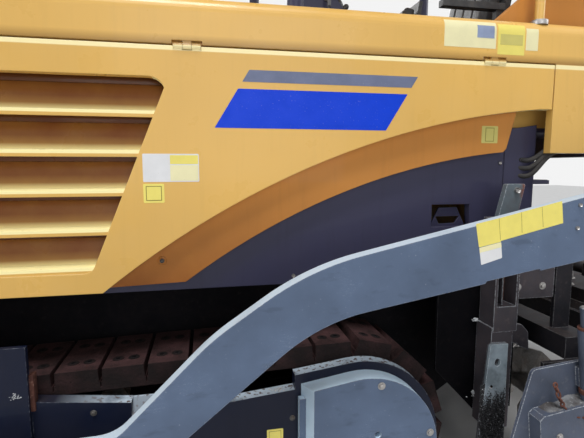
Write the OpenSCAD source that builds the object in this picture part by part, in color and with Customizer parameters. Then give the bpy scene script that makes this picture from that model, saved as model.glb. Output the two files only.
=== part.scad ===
// Tracked asphalt paver: tractor with hopper, conveyor, auger, tow arms and an extending screed.
// X points forward, Y to the machine's left, Z up. The origin is on the ground, under the middle of the machine.

/* [Tracks] */
// Distance between the centre lines of the two tracks
track_gauge = 1735; // [1650:5:1760]
// Width of a track shoe
track_w = 325; // [300:5:340]
// Distance from drive sprocket to front idler
wheelbase = 2900; // [2750:10:3000]
// Radius over the shoes round the drive sprocket
rear_r = 415; // [400:1:425]
// Radius over the shoes round the front idler
front_r = 375; // [360:1:390]
// Number of shoes on one track
shoes = 46; // [44:1:48]
// Thickness of the rubber pad on a shoe
pad_t = 52; // [40:1:56]
// Outer radius of the cover over the drive sprocket
cover_r = 314; // [305:1:322]
// Height of the track guards' lower edge
guard_low = 260; // [230:5:300]

/* [Body] */
// Width over the side doors
body_w = 2060; // [2040:2:2080]
// Height of the deck over the side beams
deck_z = 2190; // [2180:5:2300]
// Height of the door hinges
hinge_z = 2006; // [1990:1:2020]
// Height of the floor plate's top face
floor_z = 1075; // [1060:1:1090]
// Thickness of a side door
door_t = 40; // [35:1:45]
// Radius of the sweep along the door's lower edge
door_sweep_r = 3370; // [3340:5:3400]
// Height of one louvre
louvre_pitch = 144; // [143:1:145]
// Length of the engine block
engine_len = 900; // [850:10:940]
// Width of the engine block
engine_w = 900; // [800:10:1000]
// Height of the engine block
engine_h = 725; // [650:5:800]

/* [Hopper] */
// Length of the hopper wings
hopper_len = 1760; // [1600:10:1800]
// Width over the open hopper wings
hopper_w = 3100; // [3000:10:3160]
// Height of the wings' upper edge
hopper_top_z = 1560; // [1500:5:1600]

/* [Push rollers] */
// Radius of a push roller
push_r = 95; // [80:1:105]
// Length of a push roller
push_len = 620; // [500:5:640]

/* [Conveyor and auger] */
// Width of one conveyor
conveyor_w = 540; // [500:5:550]
// Distance between the conveyor slats
slat_pitch = 286; // [250:1:320]
// Outer radius of the auger flights
auger_r = 190; // [170:1:200]
// Pitch of the auger flights
auger_pitch = 300; // [280:5:320]
// Length of one auger half
auger_len = 1060; // [1000:5:1080]

/* [Tow arms and screed] */
// Thickness of a tow arm
arm_t = 60; // [50:1:65]
// Distance between the outer faces of the tow arms
arm_span = 2560; // [2550:2:2580]
// Angle through which the screed hangs above its working height
screed_lift = 8; // [7:0.1:8.4]
// Depth of the main screed, front to back
screed_d = 470; // [420:5:480]
// Height of the main screed box
screed_h = 320; // [300:5:340]
// Radius of the tubes that guide the extensions
tube_r = 38; // [34:1:40]

/* [Operator station] */
// Height of the station's floor
station_z = 1750; // [1700:5:1800]
// Height over the canopy
canopy_top = 3830; // [3700:10:3900]
// Thickness of the canopy roof
canopy_t = 90; // [70:1:110]
// Length of the canopy roof
canopy_len = 2400; // [2300:10:2460]
// Width of the canopy roof
canopy_w = 2300; // [2200:10:2400]
// Height of the handrails above the deck
rail_h = 620; // [600:5:680]
// Width of a seat
seat_w = 440; // [420:5:470]
// Width of the rear ladder
ladder_w = 540; // [480:10:600]

/* [Hidden] */
$fn = 48;

yellow = [0.83, 0.61, 0.24];
amber = [0.60, 0.36, 0.14];
slate = [0.16, 0.18, 0.24];
arm_grey = [0.27, 0.31, 0.38];
steel = [0.45, 0.45, 0.47];
bright = [0.75, 0.76, 0.78];
black = [0.07, 0.07, 0.08];
pad_brown = [0.24, 0.17, 0.16];

gap = 0.3;
running = 0.5;

// Tracks: the loop runs round a rear and a front circle, and stands on the ground
rear_x = -870;
front_x = rear_x + wheelbase;
plate_h = 20;
link_h = 45;
shoe_base = 15;
pitch_off = shoe_base + plate_h + pad_t;
sag = 4;
rear_z = rear_r + sag;
front_z = front_r + sag;
rear_pr = rear_r - pitch_off;
front_pr = front_r - pitch_off;
lean = atan((rear_r - front_r) / wheelbase);
rear_arc = rear_pr * (180 + 2 * lean) * PI / 180;
front_arc = front_pr * (180 - 2 * lean) * PI / 180;
run = wheelbase;
loop_len = rear_arc + front_arc + 2 * run;
shoe_pitch = loop_len / shoes;
track_in = track_gauge / 2 - track_w / 2;
track_out = track_gauge / 2 + track_w / 2;
track_mid = track_gauge / 2;

// Point and outward direction at length s along the pitch line, from the top of the sprocket forward
function on_loop(s) =
    s < run ? [rear_x + rear_pr * sin(2 * lean) + s * cos(2 * lean),
               rear_z + rear_pr * cos(2 * lean) - s * sin(2 * lean), 90 - 2 * lean]
    : s < run + front_arc ? round_wheel(front_x, front_z, front_pr, 90 - 2 * lean - (s - run)
        / front_pr * 180 / PI)
    : s < 2 * run + front_arc ? [front_x - (s - run - front_arc), pitch_off, -90]
    : round_wheel(rear_x, rear_z, rear_pr, -90 - (s - 2 * run - front_arc) / rear_pr * 180 / PI);
function round_wheel(cx, cz, r, a) = [cx + r * cos(a), cz + r * sin(a), a];
// Point at u along and h outward from the middle of shoe i
function on_shoe(i, u, h) = let (p = on_loop((i + 0.5) * shoe_pitch))
    [p[0] + u * sin(p[2]) + h * cos(p[2]), p[1] - u * cos(p[2]) + h * sin(p[2])];
function arc(cx, cz, r, a0, a1, n) = [for (i = [0:n]) let (a = a0 + (a1 - a0) * i / n) [cx + r * cos(a),
    cz + r * sin(a)]];

// Rounds the corners of an outline, given as a table of x, z and radius
function unit(v) = v / norm(v);
function corner(a, b, c, r, n) =
    let (u = unit(a - b), v = unit(c - b), half = acos(u * v) / 2, m = b + unit(u + v) * r / sin(half),
         s = b + u * r / tan(half) - m, e = b + v * r / tan(half) - m,
         a0 = atan2(s[1], s[0]), turn = (atan2(e[1], e[0]) - a0 + 540) % 360 - 180)
    [for (i = [0:n]) m + r * [cos(a0 + turn * i / n), sin(a0 + turn * i / n)]];
function rounded(t, n = 8) = [for (i = [0:len(t) - 1])
    let (q = t[i], a = t[(i + len(t) - 1) % len(t)], c = t[(i + 1) % len(t)])
    each (q[2] == 0 ? [[q[0], q[1]]] : corner([a[0], a[1]], [q[0], q[1]], [c[0], c[1]], q[2], n))];

// Body sections
body_y = body_w / 2;
skin_y = body_y - door_t;
panel_y = skin_y - 50;
body_front = front_x - 790;
body_rear = rear_x - 890;
station_front = rear_x + 310;
station_rear = rear_x - 1280;
beam_z = hinge_z + 6;
beam_t = 40;
door_front = body_front - 5;
door_rear = body_rear + 5;
door_low_z = floor_z + 25;
sweep_x = 124;
sweep_a0 = 38.4;
sweep_a1 = 4.5;
sweep_cx = sweep_x - door_sweep_r * sin(sweep_a0);
sweep_cz = door_low_z - door_sweep_r * cos(sweep_a0);
band_r = 2800;
band_x = -177;
band_low_z = floor_z + 42;
band_a0 = 35.8;
band_a1 = 5.2;
band_cx = band_x - band_r * sin(band_a0);
band_cz = band_low_z - band_r * cos(band_a0);
louvre_z = 1176;
louvres = 5;
louvre_front = body_front - 150;
housing_y = body_y - 105;

// Chassis
slab_y = 795;
side_y = 640;
side_t = 40;
tunnel_y = panel_y + 3;
chassis_rear = rear_x - 730;
chassis_low = 250;

wall_top = 832;
tie_x = front_x + 530;
tie_z = 480;
tie_r = 32;
guide_x = rear_x - 956;
guide_y = 420;

// Conveyor
conveyor_top = 590;
conveyor_low = 470;
conveyor_front = front_x + 830;
conveyor_rear = rear_x - 710;
shaft_r = 40;
chain_t = 22;
chain_w = 40;
slat_h = 18;
conveyor_gap = 16;

// Hopper
hopper_rear = body_front + 30;
hopper_front = hopper_rear + hopper_len;
wing_y = 655;
wing_z = 872;
wing_t = 25;
wing_w = hopper_w / 2;
lug_w = 14;
wing_lug_gap = 44;

// Wing cylinder: foot pin and rod eye in the cross plane
wing_cyl_x = front_x + 720;
foot_y = 700;
foot_z = 430;
wing_hinge_1 = hopper_rear + 160;
wing_hinge_2 = hopper_front - 160;
eye_y = wing_y + 500;
eye_z = wing_z + 60;

// Push rollers
push_x = hopper_front + 250;
push_z = 520;
push_y = 80;
push_end = push_y + push_len + 32;
push_pin_x = hopper_front + 102;

// Tow arm and its pin
tow_x = 1150;
tow_z = 520;
tow_pin_r = 45;
arm_out = arm_span / 2;
arm_in = arm_out - arm_t;
arm_end_r = 105;

// Screed in its working place, before it is lifted
screed_front = -2230;
screed_rear = screed_front - screed_d;
screed_half = arm_in - gap;
screed_low = 12;
rail_d = 34;

// Lift cylinders
lift_y = 1150;
lift_top_x = -2300;
lift_top_z = 1800;
lift_eye_x = -2420;
lift_eye_z = 1140;

// Auger
auger_x = -1900;
auger_z = 430;
auger_shaft_r = 45;
auger_in = 60;
tunnel_rear = auger_x + auger_r + 15;
guide_low = auger_z + auger_r + 110;

// Extrudes a side view, drawn in X and Z, between two places across the machine
module across(y0, y1) { translate([0, y1, 0]) rotate([90, 0, 0]) linear_extrude(y1 - y0) children(); }
// Extrudes a front view, drawn in Y and Z, between two places along the machine
module along(x0, x1) { translate([x0, 0, 0]) rotate([90, 0, 90]) linear_extrude(x1 - x0) children(); }
module block(x0, x1, y0, y1, z0, z1) { translate([x0, y0, z0]) cube([x1 - x0, y1 - y0, z1 - z0]); }
module rod_y(x, z, r, y0, y1) { translate([x, y0, z]) rotate([-90, 0, 0]) cylinder(r = r, h = y1 - y0); }
module rod_x(y, z, r, x0, x1) { translate([x0, y, z]) rotate([0, 90, 0]) cylinder(r = r, h = x1 - x0); }
module rod_z(x, y, r, z0, z1) { translate([x, y, z0]) cylinder(r = r, h = z1 - z0); }
module both() { children(); mirror([0, 1, 0]) children(); }
module right() { mirror([0, 1, 0]) children(); }
// Turns what is drawn at its working height up about the tow pins
module lifted() { translate([tow_x, 0, tow_z]) rotate([0, screed_lift, 0]) translate([-tow_x, 0, -tow_z])
    children(); }

// Undercarriage
module track_one() {
    half = shoe_pitch / 2 - 2;
    pad = half - 4;
    across(track_in, track_out) difference() {
        polygon([for (i = [0:shoes - 1]) each [
            on_shoe(i, -half, shoe_base), on_shoe(i, -half, shoe_base + plate_h),
            on_shoe(i, -pad, shoe_base + plate_h), on_shoe(i, -pad + 2, pitch_off),
            on_shoe(i, pad - 2, pitch_off), on_shoe(i, pad, shoe_base + plate_h),
            on_shoe(i, half, shoe_base + plate_h), on_shoe(i, half, shoe_base)]]);
        polygon([for (i = [0:shoes - 1]) each [on_shoe(i, -half + 2, 0), on_shoe(i, half - 2, 0)]]);
    }
    across(track_mid - 75, track_mid + 75) difference() {
        polygon([for (i = [0:shoes - 1]) each [on_shoe(i, -half + 2, 3), on_shoe(i, half - 2, 3)]]);
        polygon([for (i = [0:shoes - 1]) each [on_shoe(i, -half + 10, -link_h), on_shoe(i, half - 10,
            -link_h)]]);
    }
}
module tracks() { color(pad_brown) both() track_one(); }

sprocket_r = rear_pr - link_h - gap;
sprocket_teeth = 12;
module sprockets() { color(steel) both() {
    across(track_mid - 30, track_mid + 30) difference() {
        polygon([for (i = [0:sprocket_teeth - 1]) let (a = 360 / sprocket_teeth) each [
            for (q = [[0.1, 0], [0.3, -38], [0.7, -38], [0.9, 0]])
                [rear_x + (sprocket_r + q[1]) * cos((i + q[0]) * a), rear_z + (sprocket_r + q[1])
                    * sin((i + q[0]) * a)]]]);
        translate([rear_x, rear_z]) circle(r = 130);
    }
    rod_y(rear_x, rear_z, 150, frame_in - 20, track_mid + 90);
    rod_y(rear_x, rear_z, 105, track_mid + 89, track_mid + 140);
} }

frame_in = track_mid - 95;
frame_out = track_mid + 95;
frame_low = 140;
frame_top = 400;
roller_r = 72;
roller_z = pitch_off + link_h + roller_r + gap;
beam_low = roller_z + roller_r + 8;
roller_n = 6;
carrier_r = 55;
idler_r = front_pr - link_h - 3;
function top_run_z(x) = rear_z + rear_pr * cos(2 * lean) - (x - rear_x) * sin(2 * lean) - link_h - 4;
module track_frames() { color(slate) both() {
    across(frame_in, frame_out) polygon([[rear_x + 320, beam_low], [front_x - 320, beam_low], [front_x - 320,
        370],
        [rear_x + 470, frame_top], [rear_x + 320, frame_top]]);
    for (y = [frame_in, frame_out - 15])
        across(y, y + 15) polygon([[rear_x + 320, frame_low], [front_x - 320, frame_low], [front_x - 320,
            beam_low + 1], [rear_x + 320, beam_low + 1]]);
    // Fork that holds the idler
    for (y = [frame_in, frame_out - 15]) block(front_x - 330, front_x + 60, y, y + 15, front_z - 50,
        front_z + 50);
    // Arm and plate that carry the drive
    block(rear_x - 150, rear_x + 340, track_in - 40, frame_in - 20, 240, 560);
    block(rear_x + 250, rear_x + 400, track_in - 40, frame_in + 20, 240, 400);
    // Beams to the chassis
    for (x = [rear_x + 700, front_x - 800]) block(x, x + 220, side_y, frame_in + 5, 250, 390);
    // Stubs for the carrier rollers
    for (x = [rear_x + 1000, rear_x + 1900]) {
        block(x - 30, x + 30, frame_in + 20, frame_in + 45, 350, top_run_z(x) - carrier_r + 25);
        block(x - 30, x + 30, frame_out - 45, frame_out - 20, 350, top_run_z(x) - carrier_r + 25);
    }
} }
module roller(x, z, r, half_y) {
    rod_y(x, z, r, track_mid - half_y + 14, track_mid + half_y - 14);
    rod_y(x, z, 22, track_mid - half_y, track_mid + half_y);
}
module track_rollers() { color(steel) both() {
    for (i = [0:roller_n - 1])
        roller(rear_x + 430 + i * (wheelbase - 860) / (roller_n - 1), roller_z, roller_r, 80);
    for (x = [rear_x + 1000, rear_x + 1900]) roller(x, top_run_z(x) - carrier_r, carrier_r, 50);
    difference() {
        rod_y(front_x, front_z, idler_r, track_mid - 50, track_mid + 50);
        for (y = [track_mid - 51, track_mid + 30]) rod_y(front_x, front_z, idler_r - 45, y, y + 21);
    }
    rod_y(front_x, front_z, 30, track_mid - 80, track_mid + 80);
} }

cover_front = rear_x + 249;
cover_low = 210;
cover_in = 1095;
cover_out = 1175;
cover_z = rear_r + 9;
flange_r = cover_r + 44;
// Side view of a cover: a slope that rises to the rear, then an arc round the sprocket
module cover_outline(z, r, x1, slope) polygon(concat(
    [[x1, cover_low], [x1, z + r * cos(slope) - (x1 - rear_x - r * sin(slope)) * tan(slope)]],
    arc(rear_x, z, r, 90 - slope, 222, 22), [[rear_x - r * 0.55, cover_low]]));
module drive_covers() { color(arm_grey) both() {
    difference() {
        across(cover_in, cover_out) cover_outline(cover_z, cover_r, cover_front, 9);
        // The front face is slanted
        translate([0, 0, cover_low - 1]) linear_extrude(600) polygon([[cover_front, cover_in],
            [cover_front - 35, cover_out + 1],
            [cover_front + 1, cover_out + 1], [cover_front + 1, cover_in]]);
        // Hole for the adjusting key
        rod_y(cover_front - 301, 494, 14, cover_out - 25, cover_out + 5);
    }
    // Strip that the cover is bolted on by
    block(cover_front - 18, cover_front + 14, cover_in + 6, cover_in + 32, cover_low + 90, cover_low + 445);
} }
module track_guards() { color(slate) both() {
    // Flange round the sprocket, carried by the track frame
    across(track_out + 10, cover_in) cover_outline(rear_r, flange_r, cover_front + 25, 7.5);
    block(rear_x + 120, rear_x + 240, frame_out, track_out + 11, 250, 340);
    block(rear_x + 120, rear_x + 350, frame_out, frame_out + 30, 250, 340);
    across(track_out + 10, cover_in) polygon([[cover_front + 24, guard_low + 40], [rear_x + 730,
        guard_low + 40],
        [rear_x + 730, 635], [cover_front + 24, 680]]);
    // Front guard, with a bevelled rear corner and a plate that hangs from the frame
    across(track_out + 10, cover_in) polygon([[30, guard_low], [1020, guard_low], [1020, 790], [370, 731],
        [30, 693]]);
    along(-45, 31) polygon([[track_out + 10, 480], [cover_in, 480], [cover_in, 640], [cover_in - 45, 692],
        [track_out + 10, 692]]);
    block(369, 1020, cover_in - 1, cover_in + 20, 600, 944);
    block(500, 620, frame_out, track_out + 11, 300, 360);
} }

// Chassis between the tracks
module chassis() { color(slate) {
    difference() {
        both() across(side_y - side_t, side_y) polygon([[chassis_rear, 420], [chassis_rear + 250,
            chassis_low],
            [front_x + 330, chassis_low], [hopper_front - 59, 380], [hopper_front - 59, wall_top],
                [body_front, wall_top],
            [body_front, floor_z - 39], [body_rear, floor_z - 39], [body_rear, 840], [chassis_rear, 800]]);
        // Eyes for lashing the machine down
        rod_y(tie_x, tie_z, tie_r, -side_y - 1, side_y + 1);
    }
    block(body_rear, body_front, -slab_y, slab_y, floor_z - 40, floor_z);
    // Ribs that carry the side panels and the tunnel plates
    for (x = [rear_x - 250, rear_x + 260, rear_x + 720]) block(x, x + 25, -panel_y + 40, panel_y - 40,
        floor_z - 1, floor_z + 60);
    block(body_rear, rear_x - 440, -tunnel_y, tunnel_y, floor_z - 39, floor_z - 15);
    // Belly plate, cross members and the floor between the conveyors' runs
    block(chassis_rear + 260, hopper_front - 400, -side_y + side_t - 1, side_y - side_t + 1, chassis_low,
        chassis_low + 25);
    for (x = [chassis_rear + 300, -200, 1000, 2300]) block(x, x + 120, -side_y + side_t - 1,
        side_y - side_t + 1, 400, 450);
    block(conveyor_rear + 120, conveyor_front - 120, -side_y + side_t - 1, side_y - side_t + 1, 518, 542);
    // Front beam, with the pin that the push beam swings on
    translate([0, 0, 400]) linear_extrude(240) polygon([[hopper_front - 60, -900], [hopper_front + 10, -900],
        [hopper_front + 60, -120], [hopper_front + 60, 120], [hopper_front + 10, 900], [hopper_front - 60,
            900]]);
    both() block(hopper_front - 180, hopper_front - 59, side_y - 1, side_y + 60, 400, 640);
    for (z = [push_z - 110, push_z + 75]) block(hopper_front + 59, hopper_front + 150, -90, 90, z, z + 35);
    rod_z(push_pin_x, 0, 20, push_z - 80, push_z + 80);
    both() {
        // Hinge seats of the wings
        for (x = [wing_hinge_1, wing_hinge_2]) {
            rod_x(wing_y, wing_z, 22, x - 30, x + 30);
            rod_x(wing_y, wing_z, 12, x - 90, x + 90);
            block(x - 30, x + 30, side_y - side_t, wing_y + 4, wall_top - 40, wing_z);
        }
        // Ears and pin at the foot of a wing cylinder
        for (x = [wing_cyl_x - wing_lug_gap / 2 - lug_w, wing_cyl_x + wing_lug_gap / 2])
            block(x, x + lug_w, side_y - 1, foot_y + 40, foot_z - 45, foot_z + 40);
        rod_x(foot_y, foot_z, 15, wing_cyl_x - wing_lug_gap / 2 - 1, wing_cyl_x + wing_lug_gap / 2 + 1);
        // Guides of the auger beam
        for (y = [guide_y - 40, guide_y + 20]) block(guide_x, body_rear + 1, y, y + 20, guide_low,
            floor_z - 20);
        block(body_rear - 20, body_rear + 1, guide_y - 40, guide_y + 40, guide_low, floor_z - 20);
    }
} }

// Body shell
hinge_x = [-1464, -207, 1050];
hinge_y = body_y - 3;
knuckle_r = 11;
module hood_knuckles() for (x = hinge_x) {
    rod_x(hinge_y, hinge_z, knuckle_r, x - 16, x + 16);
    rod_x(hinge_y, hinge_z, 5, x - 47, x + 47);
    block(x - 16, x + 16, hinge_y - knuckle_r, hinge_y + 1, hinge_z, hinge_z + 28);
}
module hinge_relief() { for (x = hinge_x) block(x - 54, x + 54, body_y - 20, body_y + 20, beam_z - 1,
    hinge_z + 20); }
module hood_arch(z_side) {
    r = 60;
    difference() {
        polygon(concat([[body_y, z_side]], arc(body_y - r, deck_z - r, r, 0, 90, 8),
            arc(-body_y + r, deck_z - r, r, 90, 180, 8), [[-body_y, z_side], [-body_y + beam_t, z_side],
            [-body_y + beam_t, deck_z - beam_t], [body_y - beam_t, deck_z - beam_t], [body_y - beam_t,
                z_side]]));
    }
}
module hood() { color(yellow) {
    difference() {
        along(station_front, body_front) hood_arch(beam_z);
        both() hinge_relief();
        // Air slots over the engine
        for (x = [body_front - 1000:120:body_front - 260], y = [-620, 60]) block(x, x + 60, y, y + 560,
            deck_z - beam_t - 1, deck_z + 1);
    }
    // Rims that stand round the air slots
    for (y = [-645, 35]) difference() {
        block(body_front - 1040, body_front - 140, y, y + 610, deck_z - 1, deck_z + 14);
        block(body_front - 1020, body_front - 160, y + 20, y + 590, deck_z - 2, deck_z + 15);
    }
    both() hood_knuckles();
    // Front and rear walls of the engine room
    block(body_front - 40, body_front, -skin_y + 6, skin_y - 6, floor_z, deck_z - 30);
    block(station_front, station_front + 40, -body_y + 150, body_y - 150, station_z, deck_z - 30);
    // Side boxes beside the operator station
    both() {
        difference() { along(station_rear, station_front + 1) polygon(concat([[body_y, beam_z]],
            arc(body_y - 60, deck_z - 60, 60, 0, 90, 8),
            [[body_y - 150, deck_z], [body_y - 150, station_z], [body_y - 130, station_z],
             [body_y - 130, deck_z - beam_t], [body_y - beam_t, deck_z - beam_t], [body_y - beam_t,
                 beam_z]]));
            hinge_relief(); }
        block(station_rear, body_rear - 1, body_y - beam_t, body_y, station_z - 120, beam_z + 1);
        block(station_rear, station_rear + 40, body_y - 129, body_y, station_z - 120, deck_z - 30);
    }
    // Rear wall and station underside
    block(body_rear, body_rear + 40, -panel_y + 40 + gap, panel_y - 40 - gap, floor_z, station_z - 20);
} }

module side_panels() { color(slate) both() {
    difference() {
        across(panel_y - 40, panel_y) polygon(concat([[body_rear, floor_z], [sweep_x + 60, floor_z],
            [sweep_x + 60, 1160]],
            [for (p = arc(band_cx, band_cz, band_r + 90, 90 - band_a0, 90 - band_a1, 16)) [p[0] + 40, p[1]]],
            [[body_rear, 1760]]));
        across(panel_y - 50, panel_y + 10) polygon([[-1251, 1300], [-1441, 1300], [-1436, 1402],
            [-1251, 1402]]);
        // Seam between the front and the rear sheet
        block(-1603, -1597, panel_y - 4, panel_y + 1, floor_z - 1, 1700);
    }
    // Step in the opening
    across(panel_y - 32, panel_y - 22) difference() {
        polygon([[-1298, 1386], [-1386, 1387], [-1432, 1299], [-1256, 1299]]);
        polygon([[-1282, 1346], [-1401, 1346], [-1380, 1315], [-1300, 1312]]);
    }
} }
module arch_bands() { color(amber) both() across(panel_y, skin_y - 6) polygon(concat(
    [[sweep_x + 30, band_low_z - 10], [band_x, band_low_z]],
    arc(band_cx, band_cz, band_r, 90 - band_a0, 90 - band_a1, 20),
    [[-1576, 1650], [-1622, 1830], [-1622, 1860]],
    [for (i = [20:-1:0]) let (p = arc(sweep_cx, sweep_cz, door_sweep_r + 45, 90 - sweep_a0, 90 - sweep_a1,
        20)[i])
        if (p[0] > -1622) p],
    [[sweep_x + 30, door_low_z + 20]]));
}
module engine() { color(steel) block(body_front - 190 - engine_len, body_front - 190, -engine_w / 2,
    engine_w / 2, floor_z, floor_z + engine_h); }
// Housings at both sides of the operators, with slanted front edges
module side_housings() { color(amber) both() across(housing_y - 40, housing_y) polygon(rounded([
    [station_rear + 5, deck_z + gap, 0], [station_rear + 5, deck_z + 330, 60], [rear_x - 1035, deck_z + 330,
        90],
    [rear_x - 640, deck_z + gap, 0]]));
}

// Side doors, hinged along their upper edge
module louvre_opening(grow) polygon(concat(
    [[louvre_front + grow, louvre_z - grow], [louvre_front + grow, louvre_z + louvres * louvre_pitch + grow]],
    arc(-65, louvre_z + louvres * louvre_pitch - 60, 60 + grow, 90, 160, 6),
    arc(185, louvre_z + 40, 40 + grow, 202, 270, 5)));
module door() {
    difference() {
        across(skin_y, body_y) polygon(concat([[door_front, hinge_z], [door_front, door_low_z],
            [sweep_x, door_low_z]],
            arc(sweep_cx, sweep_cz, door_sweep_r, 90 - sweep_a0, 90 - sweep_a1, 24),
            [[door_rear, sweep_cz + door_sweep_r * cos(sweep_a1)], [door_rear, hinge_z]]));
        across(skin_y - 1, body_y + 1) louvre_opening(0);
        for (x = hinge_x) rod_x(hinge_y, hinge_z, knuckle_r + 3, x - 50, x + 50);
    }
    intersection() {
        for (i = [0:louvres - 1]) let (z = louvre_z + i * louvre_pitch)
            along(-140, louvre_front + 20) polygon([[body_y - 5, z - 2], [body_y - 5, z + 22], [body_y - 52,
                z + 27],
                [body_y - 80, z + louvre_pitch - 18], [body_y - 86, z + louvre_pitch - 20],
                [body_y - 60, z + 19], [body_y - 13, z + 14], [body_y - 13, z - 2]]);
        across(skin_y - 60, body_y) louvre_opening(6);
    }
    // Knuckles of the hinges
    for (x = hinge_x, d = [-49, 17]) difference() {
        union() {
            rod_x(hinge_y, hinge_z, knuckle_r, x + d, x + d + 32);
            block(x + d, x + d + 32, hinge_y - 7, body_y, hinge_z - 20, hinge_z);
        }
        rod_x(hinge_y, hinge_z, 5 + running, x + d - 1, x + d + 33);
    }
}
module door_left() { color(yellow) door(); }
module door_right() { color(yellow) right() door(); }

// Hopper
module hopper_apron() { color(black) across(-598, 598) polygon([[hopper_front - 57, 640], [hopper_front + 60,
    640],
    [hopper_front + 120, 900], [hopper_front + 100, 905], [hopper_front + 45, 662], [hopper_front - 57,
        662]]);
}
module conveyor_one(y0, y1) {
    r = (conveyor_top - conveyor_low) / 2 - 2;
    zc = (conveyor_top + conveyor_low) / 2;
    for (y = [y0, y1 - chain_w]) across(y, y + chain_w) difference() {
        polygon(concat(arc(conveyor_front, zc, r + chain_t / 2, 90, -90, 12), arc(conveyor_rear, zc,
            r + chain_t / 2, -90, -270, 12)));
        polygon(concat(arc(conveyor_front, zc, r - chain_t / 2, 90, -90, 12), arc(conveyor_rear, zc,
            r - chain_t / 2, -90, -270, 12)));
    }
    for (x = [conveyor_rear + 100:slat_pitch:conveyor_front - 60], z = [zc + r - 8, zc - r - 10])
        block(x, x + 36, y0 + 5, y1 - 5, z, z + slat_h);
    for (x = [conveyor_front, conveyor_rear], y = [y0 + 6, y1 - chain_w + 6])
        rod_y(x, zc, r - chain_t / 2 + 3, y, y + chain_w - 12);
}
module conveyors() { color(steel) {
    both() conveyor_one(conveyor_gap, conveyor_gap + conveyor_w);
    for (x = [conveyor_front, conveyor_rear])
        rod_y(x, (conveyor_top + conveyor_low) / 2, shaft_r, -side_y + side_t, side_y - side_t);
} }

module wing_profile() polygon([[wing_y, wing_z - 12], [wing_y + 30, wing_z - 12], [wing_y + 500,
    wing_z + 130],
    [wing_w - 90, wing_z + 420], [wing_w, hopper_top_z], [wing_w - wing_t, hopper_top_z],
    [wing_w - 90 - wing_t, wing_z + 432], [wing_y + 486, wing_z + 152], [wing_y + 26, wing_z + 13],
        [wing_y, wing_z + 13]]);
module wing_end() polygon([[wing_y + 20, wing_z], [wing_y + 500, wing_z + 135], [wing_w - 92, wing_z + 424],
    [wing_w - 8, hopper_top_z], [wing_y + 420, hopper_top_z], [wing_y + 20, wing_z + 260]]);
module wing() {
    difference() {
        along(hopper_rear + 4, hopper_front) wing_profile();
        // The front upper corner is cut back
        translate([hopper_front - 420, 0, hopper_top_z - 10]) rotate([0, 34, 0]) cube([900, 2000, 600]);
        for (x = [wing_hinge_1, wing_hinge_2]) block(x - 36, x + 36, wing_y - 60, wing_y + 45, wing_z - 60,
            wing_z + 60);
        for (x = [wing_hinge_1, wing_hinge_2]) rod_x(wing_y, wing_z, 12.5, x - 96, x + 96);
    }
    along(hopper_rear + 4, hopper_rear + 24) wing_end();
    // Ribs on the outer side
    for (x = [hopper_rear + 420, hopper_rear + 840, hopper_rear + 1260]) along(x, x + 14)
        polygon([[wing_y + 90, wing_z + 15],
        [wing_y + 495, wing_z + 135], [wing_w - 90, wing_z + 424], [wing_w - 50, wing_z + 424],
            [wing_y + 545, wing_z + 85], [wing_y + 110, wing_z - 22]]);
    for (x = [wing_hinge_1, wing_hinge_2], d = [-96, 36]) difference() {
        rod_x(wing_y, wing_z, 22, x + d, x + d + 60);
        rod_x(wing_y, wing_z, 12.5, x + d - 1, x + d + 61);
    }
    // Ears for the cylinder
    for (x = [wing_cyl_x - wing_lug_gap / 2 - lug_w, wing_cyl_x + wing_lug_gap / 2])
        along(x, x + lug_w) polygon([[eye_y - 32, eye_z - 40], [eye_y + 42, eye_z - 40],
            [eye_y + 70, wing_z + 190], [eye_y - 90, wing_z + 110]]);
}
module wing_left() { color(yellow) wing(); }
module wing_right() { color(yellow) right() wing(); }

wing_cyl_len = sqrt(pow(eye_y - foot_y, 2) + pow(eye_z - foot_z, 2));
wing_cyl_a = atan2(eye_z - foot_z, eye_y - foot_y);
// Draws a wing cylinder's parts along +X of its own frame, then stands it at its foot
module at_wing_foot() { translate([wing_cyl_x, foot_y, foot_z]) rotate([0, 0, 90])
    rotate([0, -wing_cyl_a, 0]) children(); }
module wing_barrel() { at_wing_foot() {
    difference() {
        union() {
            rod_x(0, 0, 45, 70, 560);
            rod_y(0, 0, 38, -16, 16);
            block(20, 80, -14, 14, -26, 26);
        }
        rod_y(0, 0, 15.5, -20, 20);
        rod_x(0, 0, 26, 290, 600);
    }
} }
module wing_rod() { at_wing_foot() {
    rod_x(0, 0, 25.6, 300, wing_cyl_len - 76);
    block(wing_cyl_len - 90, wing_cyl_len - 20, -14, 14, -20, 20);
    rod_y(wing_cyl_len, 0, 32, -16, 16);
} }
module wing_barrel_left() { color(steel) wing_barrel(); }
module wing_barrel_right() { color(steel) right() wing_barrel(); }
module wing_rod_left() { color(bright) wing_rod(); }
module wing_rod_right() { color(bright) right() wing_rod(); }

// Push rollers on a beam that swings about an upright pin
module push_beam() { color(slate) {
    difference() {
        translate([0, 0, push_z - 60]) linear_extrude(120) polygon([[hopper_front + 74, -60],
            [hopper_front + 74, 60],
            [hopper_front + 100, push_end], [hopper_front + 130, push_end], [hopper_front + 130, -push_end],
                [hopper_front + 100, -push_end]]);
        rod_z(push_pin_x, 0, 20.5, push_z - 70, push_z + 70);
    }
    both() for (y = [push_y - 34, push_y + push_len + 2])
        across(y, y + 30) polygon(concat([[hopper_front + 112, push_z - 60]], arc(push_x, push_z, 48, -100,
            100, 12), [[hopper_front + 112, push_z + 60]]));
} }
module push_roller() {
    rod_y(push_x, push_z, push_r, push_y, push_y + push_len - 2);
    rod_y(push_x, push_z, 22, push_y - 4 + gap, push_y + push_len + 2 - gap);
}
module push_roller_left() { color(steel) push_roller(); }
module push_roller_right() { color(steel) right() push_roller(); }

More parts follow.
